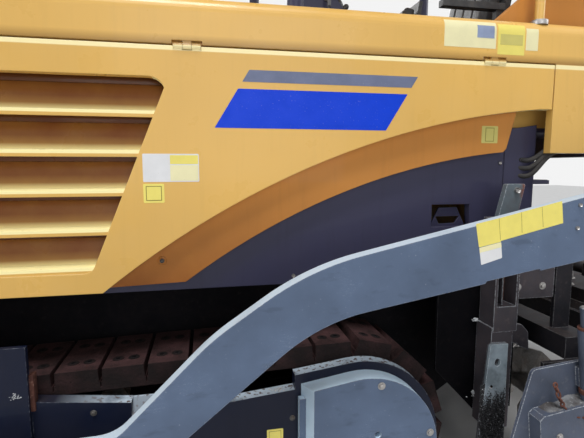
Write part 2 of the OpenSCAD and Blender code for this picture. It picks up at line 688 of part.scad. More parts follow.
// Tow brackets on the track frames, with the pin that each arm turns on
module tow_brackets() { color(slate) both() {
    block(tow_x - 120, tow_x + 130, frame_out, frame_out + 75, 240, 380);
    across(track_out + 18, arm_in - 12) polygon([[tow_x - 110, 300], [tow_x + 120, 300], [tow_x + 120, 620],
        [tow_x + 60, 760],
        [tow_x - 60, 760], [tow_x - 110, 620]]);
    block(tow_x - 120, tow_x + 130, frame_out + 60, track_out + 30, 300, 380);
    rod_y(tow_x, tow_z, tow_pin_r, arm_in - 13, arm_out + 14);
    rod_y(tow_x, tow_z, 75, arm_out + 12, arm_out + 26);
    // Levelling cylinder on the bracket
    rod_z(tow_x, 1110, 48, 759, 1030);
    rod_z(tow_x, 1110, 30, 1029, 1045);
} }

// Tow arm, drawn in its raised place: x, z and corner radius
leg_x = -2560;
arm_corners = [
    [tow_x, tow_z + arm_end_r, 0],
    [65, 653.5, 150], [-271, 984, 800], [-613.4, 1214.7, 1000], [leg_x, 1635.6, 150],
    [leg_x - 10, 560, 0], [leg_x + 180, 560, 0], [leg_x + 185, 1309, 110],
    // The edge is cut back where the post's slide plate runs
    [-1536, 1168.7, 0], [-1530, 1176, 0], [-1302, 1137.4, 0], [-1296, 1128.1, 0],
    [-647.4, 1018.2, 686], [37, 464, 150],
    [tow_x, tow_z - arm_end_r, 0]];
module tow_arm() {
    difference() {
        across(arm_in, arm_out)
            polygon(concat(arc(tow_x, tow_z, arm_end_r, -84, 84, 14), rounded(arm_corners, 10)));
        rod_y(tow_x, tow_z, tow_pin_r + gap, arm_in - 5, arm_out + 5);
    }
    // Lug on the inner face for the lift cylinder
    for (y = [lift_y - 22 - lug_w, lift_y + 22])
        across(y, y + lug_w) polygon(concat([[lift_eye_x - 45, lift_eye_z - 45], [lift_eye_x + 30,
            lift_eye_z - 45]],
            arc(lift_eye_x, lift_eye_z, 36, -10, 130, 8), [[lift_eye_x - 45, lift_eye_z + 5]]));
    block(lift_eye_x - 62, lift_eye_x - 44, lift_y - 36, arm_in + 1, lift_eye_z - 60, lift_eye_z + 6);
}
module tow_arm_left() { color(arm_grey) tow_arm(); }
module tow_arm_right() { color(arm_grey) right() tow_arm(); }

// Screed, drawn at its working height and lifted with the arms
module screed() { color(slate) lifted() {
    half = screed_half;
    across(-half, half) polygon([[screed_front, screed_low + 40], [screed_front - 40, screed_low],
        [screed_rear, screed_low],
        [screed_rear, screed_low + screed_h - 40], [screed_rear + 60, screed_low + screed_h],
            [screed_front - 90, screed_low + screed_h],
        [screed_front, screed_low + 200]]);
    // Rail that the extensions slide on
    across(-half, half) polygon([[screed_rear + 1, 190], [screed_rear - 20, 190], [screed_rear - 20, 170],
        [screed_rear - rail_d, 170],
        [screed_rear - rail_d, 250], [screed_rear - 20, 250], [screed_rear - 20, 230], [screed_rear + 1,
            230]]);
    // Covers over the drive, and bearings of the guide tubes
    across(-half + 60, half - 60) polygon([[screed_rear + 165, screed_low + screed_h - 1],
        [screed_front - 92, screed_low + screed_h - 1],
        [screed_front - 110, screed_low + screed_h + 70], [screed_rear + 185, screed_low + screed_h + 70]]);
    both() for (y = [430, 1090]) difference() {
        across(y, y + 60) polygon([[screed_rear + 6, screed_low + screed_h - 62], [tube_x + 70,
            screed_low + screed_h - 1],
            [tube_x + 48, tube_z + 50], [tube_x - 36, tube_z + 50]]);
        rod_y(tube_x, tube_z, tube_r + running, y - 1, y + 61);
    }
    // Deflector in front of the screed
    across(-half, half) polygon([[screed_front + 1, screed_low + 190], [screed_front + 45, screed_low + 330],
        [screed_front + 33, screed_low + 334],
        [screed_front - 12, screed_low + 196]]);
} }
tube_x = screed_rear + 42;
tube_z = screed_low + screed_h + 63;

ext_in = 8;
gate_y = arm_out + 20;
ext_out = gate_y - gap;
ext_front = screed_rear - 8;
ext_rear = ext_front - 330;
walk_l = 333.7;
module extension() {
    difference() {
        across(ext_in, ext_out) polygon([[ext_front, 40 + screed_low], [ext_front - 30, screed_low],
            [ext_rear, screed_low],
            [ext_rear, 300], [ext_front, 300]]);
        across(ext_in - 1, ext_out + 1) polygon([[ext_front + 1, 190 - running], [screed_rear - 20 + running,
            190 - running],
            [screed_rear - 20 + running, 170 - running], [screed_rear - rail_d - running, 170 - running],
            [screed_rear - rail_d - running, 250 + running], [screed_rear - 20 + running, 250 + running],
            [screed_rear - 20 + running, 230 + running], [ext_front + 1, 230 + running]]);
    }
    // Guide tube and the plate that joins it to the extension
    rod_y(tube_x, tube_z, tube_r, 70, ext_out - 30);
    across(ext_out - 45, ext_out - 20) polygon([[tube_x + 46, tube_z - 40], [tube_x + 46, tube_z + 46],
        [tube_x - 60, tube_z + 46],
        [ext_front - 110, 299], [ext_front - 4, 299]]);
    // Walkway behind the extension
    block(ext_rear - walk_l, ext_rear + 1, ext_in + 20, ext_out - 20, 250, 275);
    block(ext_rear - walk_l, ext_rear - walk_l + 15, ext_in + 20, ext_out - 20, 180, 251);
}
module extension_left() { color(slate) lifted() extension(); }
module extension_right() { color(slate) lifted() right() extension(); }

// End gate at the outer end of an extension, reaching forward past the auger
module end_gate() { lifted() {
    across(gate_y, gate_y + 14) polygon(rounded([[-1372, screed_low, 0], [-1360, 70, 0], [-1399, 138, 0],
        [-1511, 409, 24],
        [-1760, 397, 0], [ext_rear + 10, 330, 0], [ext_rear + 10, screed_low, 0]]));
    across(gate_y, gate_y + 26) polygon([[ext_rear + 10, screed_low - 2], [-1400, screed_low - 2],
        [-1400, screed_low + 14], [ext_rear + 10, screed_low + 14]]);
    // Step along the gate, hollow below
    difference() {
        across(gate_y + 13, gate_y + 76) polygon([[-1475, 60], [-1480, 236], [-1500, 250], [-2560, 250],
            [-2560, 60]]);
        across(gate_y + 12, gate_y + 64) polygon([[-1490, 40], [-1492, 226], [-1508, 238], [-2550, 238],
            [-2550, 40]]);
    }
    // Upright spindles that set the gate's height
    for (x = [-1726, -2800]) {
        rod_z(x, gate_y + 50, 30, 249, 550);
        rod_z(x, gate_y + 50, 19, 549, 634);
        rod_z(x, gate_y + 50, 34, 282, 296);
        block(x - 24, x + 24, gate_y + 13, gate_y + 30, 300, 380);
    }
    block(-2850, -2750, gate_y + 13, gate_y + 84, 232, 250);
} }
module end_gate_left() { color(arm_grey) end_gate(); }
module end_gate_right() { color(arm_grey) right() end_gate(); }

// Lift cylinders between the station's rear beam and the arms
lift_len = sqrt(pow(lift_eye_x - lift_top_x, 2) + pow(lift_eye_z - lift_top_z, 2));
lift_a = atan2(lift_top_z - lift_eye_z, lift_top_x - lift_eye_x);
module at_lift_top() { translate([lift_top_x, lift_y, lift_top_z]) rotate([0, 180 - lift_a, 0]) children(); }
module lift_barrel() { at_lift_top() {
    difference() {
        union() {
            rod_x(0, 0, 42, 80, 600);
            rod_y(0, 0, 36, -16, 16);
            block(20, 90, -14, 14, -24, 24);
        }
        rod_y(0, 0, 15.5, -20, 20);
        rod_x(0, 0, 26, 86, 640);
    }
} }
module lift_rod() { at_lift_top() {
    rod_x(0, 0, 25.6, 90, 612);
    block(600, lift_len - 20, -14, 14, -18, 18);
    rod_y(lift_len, 0, 30, -16, 16);
} }
module lift_barrel_left() { color(steel) lift_barrel(); }
module lift_barrel_right() { color(steel) right() lift_barrel(); }
module lift_rod_left() { color(bright) lift_rod(); }
module lift_rod_right() { color(bright) right() lift_rod(); }

// Auger: a beam with a chain case in the middle, and a flighted shaft each side
module auger_beam() { color(slate) {
    block(auger_x - 70, auger_x + 70, -1120, 1120, auger_z + auger_r + 90, auger_z + auger_r + 190);
    block(auger_x - 60, auger_x + 60, -auger_in + 22, auger_in - 22, auger_z - 90, auger_z + auger_r + 91);
    both() {
        block(auger_x + 69, body_rear - 27, guide_y - 20 + running, guide_y + 20 - running,
            auger_z + auger_r + 92, auger_z + auger_r + 260);
        // Bearing plate round the flights' end, and the hanger behind the post
        across(auger_in + auger_len + 1, auger_in + auger_len + 19)
            polygon(concat([[auger_x + auger_r + 5, auger_z + auger_r + 91]],
            arc(auger_x, auger_z, auger_r + 5, 0, -180, 16),
                [[auger_x - auger_r - 5, auger_z + auger_r + 91]]));
        block(auger_x - 50, auger_x + 38, 985, 1005, auger_z + auger_r + 189, auger_z + auger_r + 560);
    }
} }
flight_n = 12;
module auger_half() {
    rod_y(auger_x, auger_z, auger_shaft_r, auger_in - 22 + gap, auger_in + auger_len + 1 - gap);
    turns = (auger_len - 80) / auger_pitch;
    steps = floor(turns * flight_n);
    translate([auger_x, auger_in + 30, auger_z]) polyhedron(
        points = [for (i = [0:steps]) let (a = i * 360 / flight_n, y = i * auger_pitch / flight_n) each [
            [(auger_shaft_r - 4) * cos(a), y, (auger_shaft_r - 4) * sin(a)],
            [auger_r * cos(a), y, auger_r * sin(a)],
            [auger_r * cos(a), y + 16, auger_r * sin(a)],
            [(auger_shaft_r - 4) * cos(a), y + 16, (auger_shaft_r - 4) * sin(a)]]],
        faces = concat([[0, 1, 2, 3]], [[4 * steps + 3, 4 * steps + 2, 4 * steps + 1, 4 * steps]],
            [for (i = [0:steps - 1], k = [0:3]) let (n = (k + 1) % 4) each
                [[4 * i + k, 4 * i + 4 + k, 4 * i + 4 + n], [4 * i + k, 4 * i + 4 + n, 4 * i + n]]]));
}
module auger_left() { color(steel) auger_half(); }
module auger_right() { color(steel) right() auger_half(); }

// Rear posts and the plates that wall the auger tunnel
post_front = -1497;
post_rear = -1615;
post_y = 965;
post_out = 1070;
module rear_posts() { color(slate) both() {
    difference() {
        block(post_rear, post_front, post_y, post_out, 840, 1345);
        block(post_rear + 12, post_front - 14, post_y + 12, post_out + 1, 955, 1400);
    }
    // Lower box, which the channel is pushed over
    block(post_rear + 17, post_front + 5, post_y - 7, post_out - 2, 380, 860);
    block(post_rear, post_front, panel_y + gap, post_y + 1, 1180, 1260);
    // Plate with the pin hole
    across(post_out - 3, post_out + 18) difference() {
        polygon(rounded([[-1432, 240, 0], [-1566, 240, 0], [-1563, 790, 0], [-1476, 793, 14]]));
        translate([-1515, 708]) scale([1, 1.25]) circle(r = 14);
    }
    // Head bracket, behind the tow arm
    across(post_out - 26, post_out) polygon(rounded([[-1527, 1497, 8], [-1615, 1497, 8], [-1572, 1300, 0],
        [-1478, 1300, 0]]));
    // Torn bracket and the fixed hanger plate
    across(1030, 1045) polygon([[post_rear + 3, 868], [-1663, 855], [-1696, 820], [-1705, 734], [-1660, 752],
        [-1640, 768], [post_rear + 3, 775]]);
    block(-1852, post_rear + 1, 985, 1005, 964, 1240);
} }
module tunnel_plates() { color(slate) both() {
    across(tunnel_y + gap, tunnel_y + 14.4) polygon([[-1289, floor_z], [-1289, 633], [-1500, 410],
        [tunnel_rear, 410], [tunnel_rear, floor_z]]);
    block(tunnel_rear, tunnel_rear + 30, side_y + gap, tunnel_y + 1, 430, floor_z - 40 - gap);
} }

// Operator station
module station() { color(slate) {
    block(station_rear, station_front, -body_y + 130.5, body_y - 130.5, station_z - 20, station_z);
    // Rear beam that carries the lift cylinders
    block(station_rear - 100, station_rear, -1190, 1190, station_z - 130, station_z + 10);
    both() for (y = [lift_y - 22 - lug_w, lift_y + 22])
        across(y, y + lug_w) polygon([[station_rear - 99, station_z - 5], [station_rear - 99,
            station_z + 90], [lift_top_x - 35, lift_top_z + 36], [lift_top_x - 35, lift_top_z - 36]]);
    both() rod_y(lift_top_x, lift_top_z, 15, lift_y - 23, lift_y + 23);
    // Rear ladder
    both() block(station_rear - 135, station_rear - 99, ladder_w / 2 - 20, ladder_w / 2, 900, station_z + 5);
    for (z = [960, 1222, 1484, 1746]) block(station_rear - 290, station_rear - 100, -ladder_w / 2 + 1,
        ladder_w / 2 - 1, z - 25, z);
} }
seat_x = -1465;
seat_mid = 520;
module seat_base() {
    rod_z(seat_x, seat_mid, 60, station_z, station_z + 300);
    block(seat_x - 190, seat_x + 190, seat_mid - seat_w / 2 + 40, seat_mid + seat_w / 2 - 40,
        station_z + 299, station_z + 330);
    block(seat_x - 235, seat_x + 235, seat_mid - seat_w / 2, seat_mid + seat_w / 2, station_z + 329,
        station_z + 355);
    across(seat_mid - seat_w / 2 + 10, seat_mid + seat_w / 2 - 10) polygon([[seat_x - 200, station_z + 354],
        [seat_x - 235, station_z + 354],
        [seat_x - 350, station_z + 990], [seat_x - 325, station_z + 995]]);
    // Armrests
    for (y = [seat_mid - seat_w / 2 - 45, seat_mid + seat_w / 2 + 5]) {
        block(seat_x - 210, seat_x + 110, y, y + 40, station_z + 560, station_z + 590);
        block(seat_x - 200, seat_x - 170, y + 5, y + 35, station_z + 340, station_z + 561);
        block(seat_x - 200, seat_x - 170, min(y + 5, seat_mid), max(y + 35, seat_mid), station_z + 330,
            station_z + 354);
    }
}
module seat_bases() { color(black) both() seat_base(); }
module seat_cushions() { color(black) both() {
    across(seat_mid - seat_w / 2 + 8, seat_mid + seat_w / 2 - 8)
        polygon(rounded([[seat_x + 240, station_z + 355 + gap, 0], [seat_x + 240, station_z + 440, 40],
        [seat_x - 120, station_z + 425, 60], [seat_x - 200, station_z + 900, 0], [seat_x - 225,
            station_z + 985, 40],
        [seat_x - 324, station_z + 990, 0], [seat_x - 199, station_z + 355 + gap, 0]]));
} }
module console() { color(slate) {
    across(-420, 420) polygon([[-760, station_z], [-900, station_z], [-1010, station_z + 620],
        [-900, station_z + 760], [-760, station_z + 700]]);
} }
rail_r = 20;
module handrails() { color(yellow) {
    both() {
        for (x = [-1700, station_rear + 50]) rod_z(x, body_y - 45, rail_r, deck_z, deck_z + rail_h);
        rod_x(body_y - 45, deck_z + rail_h, rail_r, station_rear + 50 - rail_r, -1700 + rail_r);
        rod_x(body_y - 45, deck_z + rail_h / 2, rail_r, station_rear + 50, -1700);
    }
} }
post_r = 36;
canopy_rear = station_rear - 150;
canopy_front = canopy_rear + canopy_len;
canopy_low = canopy_top - canopy_t;
module canopy_posts() { color(slate) both() {
    for (x = [station_front - 100, station_rear + 90]) rod_z(x, 780, post_r, x > -1000 ? deck_z : station_z,
        canopy_low - 40);
    block(station_front - 160, station_front - 40, 720, 840, deck_z - 30, deck_z + 15);
} }
module canopy_roof() { color(yellow) {
    along(canopy_rear, canopy_front) polygon([[-canopy_w / 2, canopy_low], [canopy_w / 2, canopy_low],
        [canopy_w / 2, canopy_low + 45], [canopy_w / 2 - 150, canopy_top], [150 - canopy_w / 2, canopy_top],
            [-canopy_w / 2, canopy_low + 45]]);
    // Beams under the roof
    both() block(canopy_rear + 30, canopy_front - 30, 745, 815, canopy_low - 40, canopy_low + 1);
    for (x = [canopy_rear + 60, (canopy_rear + canopy_front) / 2 - 30, canopy_front - 120]) block(x, x + 60,
        -canopy_w / 2 + 60, canopy_w / 2 - 60, canopy_low - 38, canopy_low + 1);
} }
module exhaust() { color(steel) {
    rod_z(station_front + 260, -700, 70, deck_z, deck_z + 420);
    rod_z(station_front + 260, -700, 45, deck_z + 419, deck_z + 760);
} }
module lamps() { color(bright) both() {
    block(canopy_front, canopy_front + 60, 780, 980, canopy_low, canopy_low + 70);
    block(canopy_rear - 60, canopy_rear, 780, 980, canopy_low, canopy_low + 70);
} }

chassis();
track_frames();
tracks();
sprockets();
track_rollers();
drive_covers();
track_guards();
hood();
side_panels();
arch_bands();
engine();
side_housings();
door_left();
door_right();
hopper_apron();
conveyors();
wing_left();
wing_right();
wing_barrel_left();
wing_barrel_right();
wing_rod_left();
wing_rod_right();
push_beam();
push_roller_left();
push_roller_right();
tow_brackets();
tow_arm_left();
tow_arm_right();
screed();
extension_left();
extension_right();
end_gate_left();
end_gate_right();
lift_barrel_left();
lift_barrel_right();
lift_rod_left();
lift_rod_right();
auger_beam();
auger_left();
auger_right();
rear_posts();
tunnel_plates();
station();
seat_bases();
seat_cushions();
console();
handrails();
canopy_posts();
canopy_roof();
exhaust();
lamps();
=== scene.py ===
"""Looks of the tracked asphalt paver: finishes for its CAD nodes, small pieces on them, and the studio."""

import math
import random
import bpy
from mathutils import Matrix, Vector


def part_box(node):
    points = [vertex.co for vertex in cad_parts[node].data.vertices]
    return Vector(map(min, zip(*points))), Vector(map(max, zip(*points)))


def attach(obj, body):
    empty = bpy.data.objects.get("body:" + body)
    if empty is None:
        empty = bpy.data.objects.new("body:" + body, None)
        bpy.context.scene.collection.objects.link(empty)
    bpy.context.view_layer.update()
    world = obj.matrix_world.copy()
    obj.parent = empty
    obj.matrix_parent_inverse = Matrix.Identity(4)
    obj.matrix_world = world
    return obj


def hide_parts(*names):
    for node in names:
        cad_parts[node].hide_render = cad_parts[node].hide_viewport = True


bl_info = {
    "name": "Tracked asphalt paver",
    "version": (1, 0, 0),
    "blender": (4, 5, 0),
    "location": "View3D > Sidebar > Paver",
    "description": "Builds the finishes, trim and fittings of a tracked asphalt paver on its packed frame",
    "category": "Object",
}

import bmesh
import bpy
from mathutils import Matrix, Vector

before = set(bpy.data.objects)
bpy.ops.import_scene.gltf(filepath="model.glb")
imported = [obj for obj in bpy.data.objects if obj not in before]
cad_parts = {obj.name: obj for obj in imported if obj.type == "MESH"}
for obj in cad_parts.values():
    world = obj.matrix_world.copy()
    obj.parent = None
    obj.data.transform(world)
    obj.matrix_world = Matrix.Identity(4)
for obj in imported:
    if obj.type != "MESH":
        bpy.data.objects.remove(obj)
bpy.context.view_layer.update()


# Shader maths

class Value:
    """A number in a finish, so that its maths reads as plain expressions."""

    def __init__(self, finish, socket):
        self.finish = finish
        self.socket = socket

    def _math(self, operation, first, second=None):
        made = self.finish.node("ShaderNodeMath", {"operation": operation}, {0: first})
        if second is not None:
            self.finish.feed(made.inputs[1], second)
        return Value(self.finish, made.outputs[0])

    def __add__(self, other):
        return self._math("ADD", self, other)

    __radd__ = __add__

    def __sub__(self, other):
        return self._math("SUBTRACT", self, other)

    def __rsub__(self, other):
        return self._math("SUBTRACT", other, self)

    def __mul__(self, other):
        return self._math("MULTIPLY", self, other)

    __rmul__ = __mul__

    def most(self, other):
        return self._math("MAXIMUM", self, other)

    def size(self):
        return self._math("ABSOLUTE", self)

    def part(self):
        return self._math("FRACT", self)

    def ramp(self, low, high, to_low=0.0, to_high=1.0):
        made = self.finish.node("ShaderNodeMapRange", {"clamp": True},
                                {0: self, 1: low, 2: high, 3: to_low, 4: to_high})
        return Value(self.finish, made.outputs[0])


class Finish:
    """A material under construction, with one method that makes every node."""

    def __init__(self, name):
        self.material = bpy.data.materials.new(name)
        self.material.use_nodes = True
        self.tree = self.material.node_tree
        self.tree.nodes.clear()
        self.place = None

    def feed(self, socket, value):
        if isinstance(value, Value):
            value = value.socket
        if isinstance(value, bpy.types.NodeSocket):
            self.tree.links.new(value, socket)
        elif isinstance(value, (tuple, list)) and len(value) == 3 and len(socket.default_value) == 4:
            socket.default_value = (*value, 1.0)
        else:
            socket.default_value = value

    def node(self, kind, settings=None, inputs=None):
        made = self.tree.nodes.new(kind)
        for key, value in (settings or {}).items():
            setattr(made, key, value)
        for key, value in (inputs or {}).items():
            self.feed(made.inputs[key], value)
        return made

    def position(self):
        if self.place is None:
            self.place = self.node("ShaderNodeTexCoord").outputs["Object"]
        return self.place

    def plain_normal(self):
        return self.node("ShaderNodeNewGeometry").outputs["Normal"]

    def apart(self, vector):
        """The three numbers of a vector."""
        return [Value(self, out) for out in self.node("ShaderNodeSeparateXYZ", None, {0: vector}).outputs]

    def axes(self):
        return self.apart(self.position())

    def facing(self):
        return self.apart(self.plain_normal())

    def stretched(self, scale):
        return self.node("ShaderNodeMapping", None, {"Vector": self.position(), "Scale": scale}).outputs[0]

    def noise(self, scale, detail=3.0, rough=0.55, vector=None, warp=0.0):
        made = self.node("ShaderNodeTexNoise", None, {
            "Vector": vector or self.position(), "Scale": scale, "Detail": detail, "Roughness": rough,
            "Distortion": warp})
        return Value(self, made.outputs["Fac"])

    def cells(self, scale):
        made = self.node("ShaderNodeTexVoronoi", None, {"Vector": self.position(), "Scale": scale})
        return Value(self, made.outputs["Distance"])

    def mix(self, mask, first, second):
        return self.node("ShaderNodeMix", {"data_type": "RGBA"}, {0: mask, 6: first, 7: second}).outputs[2]

    def bump(self, height, distance, strength=1.0, normal=None):
        inputs = {"Height": height, "Distance": distance, "Strength": strength}
        if normal is not None:
            inputs["Normal"] = normal
        return self.node("ShaderNodeBump", None, inputs).outputs[0]

    def soft_edge(self, radius):
        return self.node("ShaderNodeBevel", {"samples": 4}, {"Radius": radius}).outputs[0]

    def edges(self, radius):
        """A mask that is 1 on sharp edges and 0 on flat faces."""
        same = self.node("ShaderNodeVectorMath", {"operation": "DOT_PRODUCT"},
                         {0: self.soft_edge(radius), 1: self.plain_normal()})
        return Value(self, same.outputs["Value"]).ramp(0.997, 0.88)

    def shade(self, colour, rough, metal=0.0, normal=None, **fixed):
        inputs = {"Base Color": colour, "Roughness": rough, "Metallic": metal}
        if normal is not None:
            inputs["Normal"] = normal
        shader = self.node("ShaderNodeBsdfPrincipled", None, inputs)
        for key, value in fixed.items():
            self.feed(shader.inputs[{"coat": "Coat Weight", "specular": "Specular IOR Level"}[key]], value)
        out = self.node("ShaderNodeOutputMaterial")
        self.tree.links.new(shader.outputs[0], out.inputs["Surface"])
        return self.material


def dark(colour, share):
    return tuple(min(1.0, channel * share) for channel in colour)


# Finishes

def machine_paint(name, colour, dust=0.25, wear=0.5, gloss=0.36, grime=0.3, dusty=(0.42, 0.36, 0.29),
                  chip=(0.10, 0.085, 0.08), recess_shade_depths=None, low=None, shine=0.4, ledge_light=None, spill=0.0,
                  seam=False):
    """Sprayed paint: orange peel, slow drift, run-off streaks, dust on top faces, chips along the edges.
    soot gives the depths behind the side beam between which recesses take a brown painted shade, low the
    heights between which the paint is painted darker towards the bottom as painted shade, its share and its
    colour, ledge the colour of painted light on open ledges, spill the share of asphalt stains on slopes,
    seam the painted shadow under the beam's edge over the doors and the painted highlight on their top edge."""
    f = Finish(name)
    x, y, z = f.axes()
    nz = f.facing()[2]
    cloud = f.noise(7.0, 4.0)
    fine = f.noise(60.0, 3.0)
    base = f.mix(f.noise(1.3, 2.0).ramp(0.3, 0.7), dark(colour, 0.92), dark(colour, 1.06))
    streaks = f.noise(6.0, 4.0, vector=f.stretched((6.0, 6.0, 0.5)))
    base = f.mix(streaks.ramp(0.52, 0.8) * grime, base, dark(colour, 0.55))
    settled = (nz.ramp(0.2, 0.9) * 0.8 + 0.12) * cloud.ramp(0.35, 0.75) * dust
    base = f.mix(settled, base, dusty)
    if low:
        # Painted shade: the paint darker towards the bottom, between the heights given in low
        film = z.ramp(low[0], low[1], 1.0, 0.0) * (cloud * 0.5 + 0.5)
        base = f.mix(film * low[2], base, low[3] if len(low) > 3 else dark(colour, 0.45))
    if recess_shade_depths:
        # Painted shade: brown in the recesses behind the side beam, mostly on faces not turned up
        depth = BODY_Y - y.size()
        painted_recess_shade = depth.ramp(recess_shade_depths[0], recess_shade_depths[1]) * nz.ramp(0.5, 0.8, 1.0, 0.0)
        base = f.mix(painted_recess_shade * (cloud * 0.3 + 0.75), base, (0.165, 0.040, 0.006))
        # Painted shade: the darkest brown, at the depth of the louvre backs
        base = f.mix(depth.ramp(0.079, 0.0805) * 0.7, base, (0.070, 0.016, 0.002))
        # Painted highlight: the upper half of each louvre blade's front edge painted cream
        blade = ((z - (LOUVRE_Z - 0.002)) * (1 / LOUVRE_PITCH)).part()
        lip_highlight = blade.ramp(0.080, 0.088).most(nz.ramp(0.5, 0.8))
        base = f.mix(lip_highlight * depth.ramp(0.002, 0.004) * depth.ramp(0.058, 0.050), base, (1.0, 0.88, 0.44))
    if seam:
        # Painted shadow: a brown band under the beam's edge, just above the doors' top
        outside = y.size().ramp(1.020, 1.027)
        rise = z - DOOR_TOP_Z
        shaded = rise.ramp(0.039, 0.005) * rise.ramp(0.0, 0.002)
        base = f.mix(outside * shaded * 0.75, base, (0.24, 0.115, 0.018))
        # Painted highlight: a pale band along the doors' top edge
        base = f.mix(outside * rise.ramp(-0.020, -0.016) * rise.ramp(0.0, -0.001), base, (1.0, 0.86, 0.46))
    if spill:
        worked = z.ramp(1.50, 1.02) * 0.62 + f.noise(16.0, 6.0, 0.7) * 0.75 + fine * 0.35
        base = f.mix(nz.ramp(0.25, 0.6) * worked.ramp(0.66, 0.90) * spill, base, (0.030, 0.027, 0.025))
    if ledge_light:
        # Painted sky light on the open ledges towards the front, with soil specks on them
        lit_ledge_mask = nz.ramp(0.5, 0.8) * y.size().ramp(1.035, 1.045) * x.ramp(0.30, 0.05)
        base = f.mix(lit_ledge_mask * cloud.ramp(0.25, 0.45), base, ledge_light)
        base = f.mix(lit_ledge_mask * fine.ramp(0.56, 0.62), base, (0.09, 0.055, 0.045))
    chips = f.edges(0.004) * fine.ramp(0.48, 0.62) * wear
    base = f.mix(chips, base, chip)
    rough = cloud.ramp(0.3, 0.8, gloss - 0.05, gloss + 0.1) + settled * 0.5 + chips * 0.25
    normal = f.bump(f.noise(340.0, 2.0) + fine * 0.8, 0.0003, 0.35, f.soft_edge(0.005))
    return f.shade(base, rough, 0.0, normal, coat=0.1, specular=shine)


def arm_paint(name, colour, sky=(0.50, 0.60, 0.70), front=0.0):
    """Matt blue-grey paint: scuffs, top faces pale with dust and painted sky light, rubbed bright edges with
    rust specks. front is how far faces turned to the machine's front take the painted light too."""
    f = Finish(name)
    nx, _, nz = f.facing()
    cloud = f.noise(5.0, 5.0)
    fine = f.noise(90.0, 4.0)
    rubbed = f.noise(9.0, 4.0, vector=f.stretched((1.0, 1.0, 3.0)))
    base = f.mix(cloud.ramp(0.3, 0.7), dark(colour, 0.85), dark(colour, 1.12))
    base = f.mix(rubbed.ramp(0.6, 0.72) * 0.45, base, dark(colour, 0.55))
    base = f.mix(fine.ramp(0.68, 0.76) * 0.5, base, (0.33, 0.37, 0.42))
    scratch = f.noise(14.0, 2.0, vector=f.stretched((1.0, 1.0, 9.0)), warp=1.5)
    base = f.mix((scratch - 0.5).size().ramp(0.004, 0.0) * cloud.ramp(0.60, 0.66) * 0.6, base,
                 (0.50, 0.56, 0.62))
    # Dust and painted sky light on top faces, and painted light on faces turned to the machine's front as far
    # as front says
    top = nz.ramp(0.25, 0.6)
    if front:
        top = top.most(nx.ramp(0.25, 0.75) * front)
    base = f.mix(top * cloud.ramp(0.2, 0.5, 0.75, 1.0), base, sky)
    edge = f.edges(0.005)
    base = f.mix(edge * fine.ramp(0.35, 0.6) * 0.7, base, (0.46, 0.50, 0.55))
    rust = edge * fine.ramp(0.62, 0.7)
    base = f.mix(rust * 0.7, base, (0.26, 0.12, 0.07))
    rough = cloud.ramp(0.3, 0.8, 0.38, 0.55) + fine.ramp(0.5, 0.8) * 0.1
    normal = f.bump(fine * 0.6 + f.noise(260.0, 2.0), 0.0004, 0.4, f.soft_edge(0.004))
    return f.shade(base, rough, 0.0, normal, specular=0.3)


def dirty_steel(name, colour, soil=(0.060, 0.042, 0.036), amount=0.6, metal=0.1, chalk=(0.075, 0.075, 0.08),
                rubbed=(0.30, 0.30, 0.31), plate=None, shine=0.2):
    """Dark working parts: chalky scuffs, brown soil on what faces up, edges rubbed bare. plate is the colour
    of the plate that stands proud of the rear post."""
    f = Finish(name)
    x, y, z = f.axes()
    nz = f.facing()[2]
    cloud = f.noise(6.0, 5.0)
    spots = f.noise(34.0, 5.0)
    fine = f.noise(140.0, 4.0)
    base = f.mix(cloud.ramp(0.3, 0.7), dark(colour, 0.7), dark(colour, 1.25))
    base = f.mix(spots.ramp(0.6, 0.72) * 0.35, base, chalk)
    if plate:
        # The plate, then the head bracket with rust along its rear edge
        proud = y.size().ramp(1.071, 1.076)
        worn = f.mix((cloud * 0.7 + spots * 0.4).ramp(0.42, 0.62), dark(plate, 0.45), plate)
        base = f.mix(proud * z.ramp(0.48, 0.62, 0.35, 1.0), base, worn)
        head = y.size().ramp(1.040, 1.043) * z.ramp(1.346, 1.350)
        base = f.mix(head, base, dark(plate, 0.36))
        base = f.mix(head * x.ramp(-1.585, -1.605) * spots.ramp(0.35, 0.5), base, (0.20, 0.075, 0.055))
    soiled = (nz.ramp(0.3, 0.8) * 0.7 + 0.3) * (cloud * 0.5 + spots * 0.5).ramp(0.42, 0.62) * amount
    base = f.mix(soiled, base, soil)
    edge = f.edges(0.005) * fine.ramp(0.36, 0.56)
    base = f.mix(edge * 0.7, base, rubbed)
    normal = f.bump(spots * soiled + fine * 0.3, 0.003, 0.6, f.soft_edge(0.003))
    return f.shade(base, cloud.ramp(0.3, 0.8, 0.5, 0.72) + soiled * 0.2, soiled.ramp(0.0, 1.0, metal, 0.0),
                   normal, specular=shine)


def worn_metal(name, colour, metal=0.9, rough=0.4, rust=0.3):
    """Bare working steel: brushed by use, stained and rusty in the hollows."""
    f = Finish(name)
    cloud = f.noise(9.0, 5.0)
    fine = f.noise(120.0, 3.0)
    stain = f.noise(28.0, 4.0)
    rusty = (cloud * 0.6 + stain * 0.5).ramp(0.5, 0.72) * rust
    base = f.mix(fine.ramp(0.35, 0.7), dark(colour, 0.75), colour)
    base = f.mix(rusty, base, (0.21, 0.095, 0.045))
    base = f.mix(f.edges(0.003) * 0.4, base, dark(colour, 1.6))
    normal = f.bump(stain * 0.7 + fine * 0.3, 0.0008, 0.5, f.soft_edge(0.003))
    return f.shade(base, stain.ramp(0.3, 0.75, rough - 0.08, rough + 0.2) + rusty * 0.3,
                   rusty.ramp(0.0, 1.0, metal, 0.05), normal)


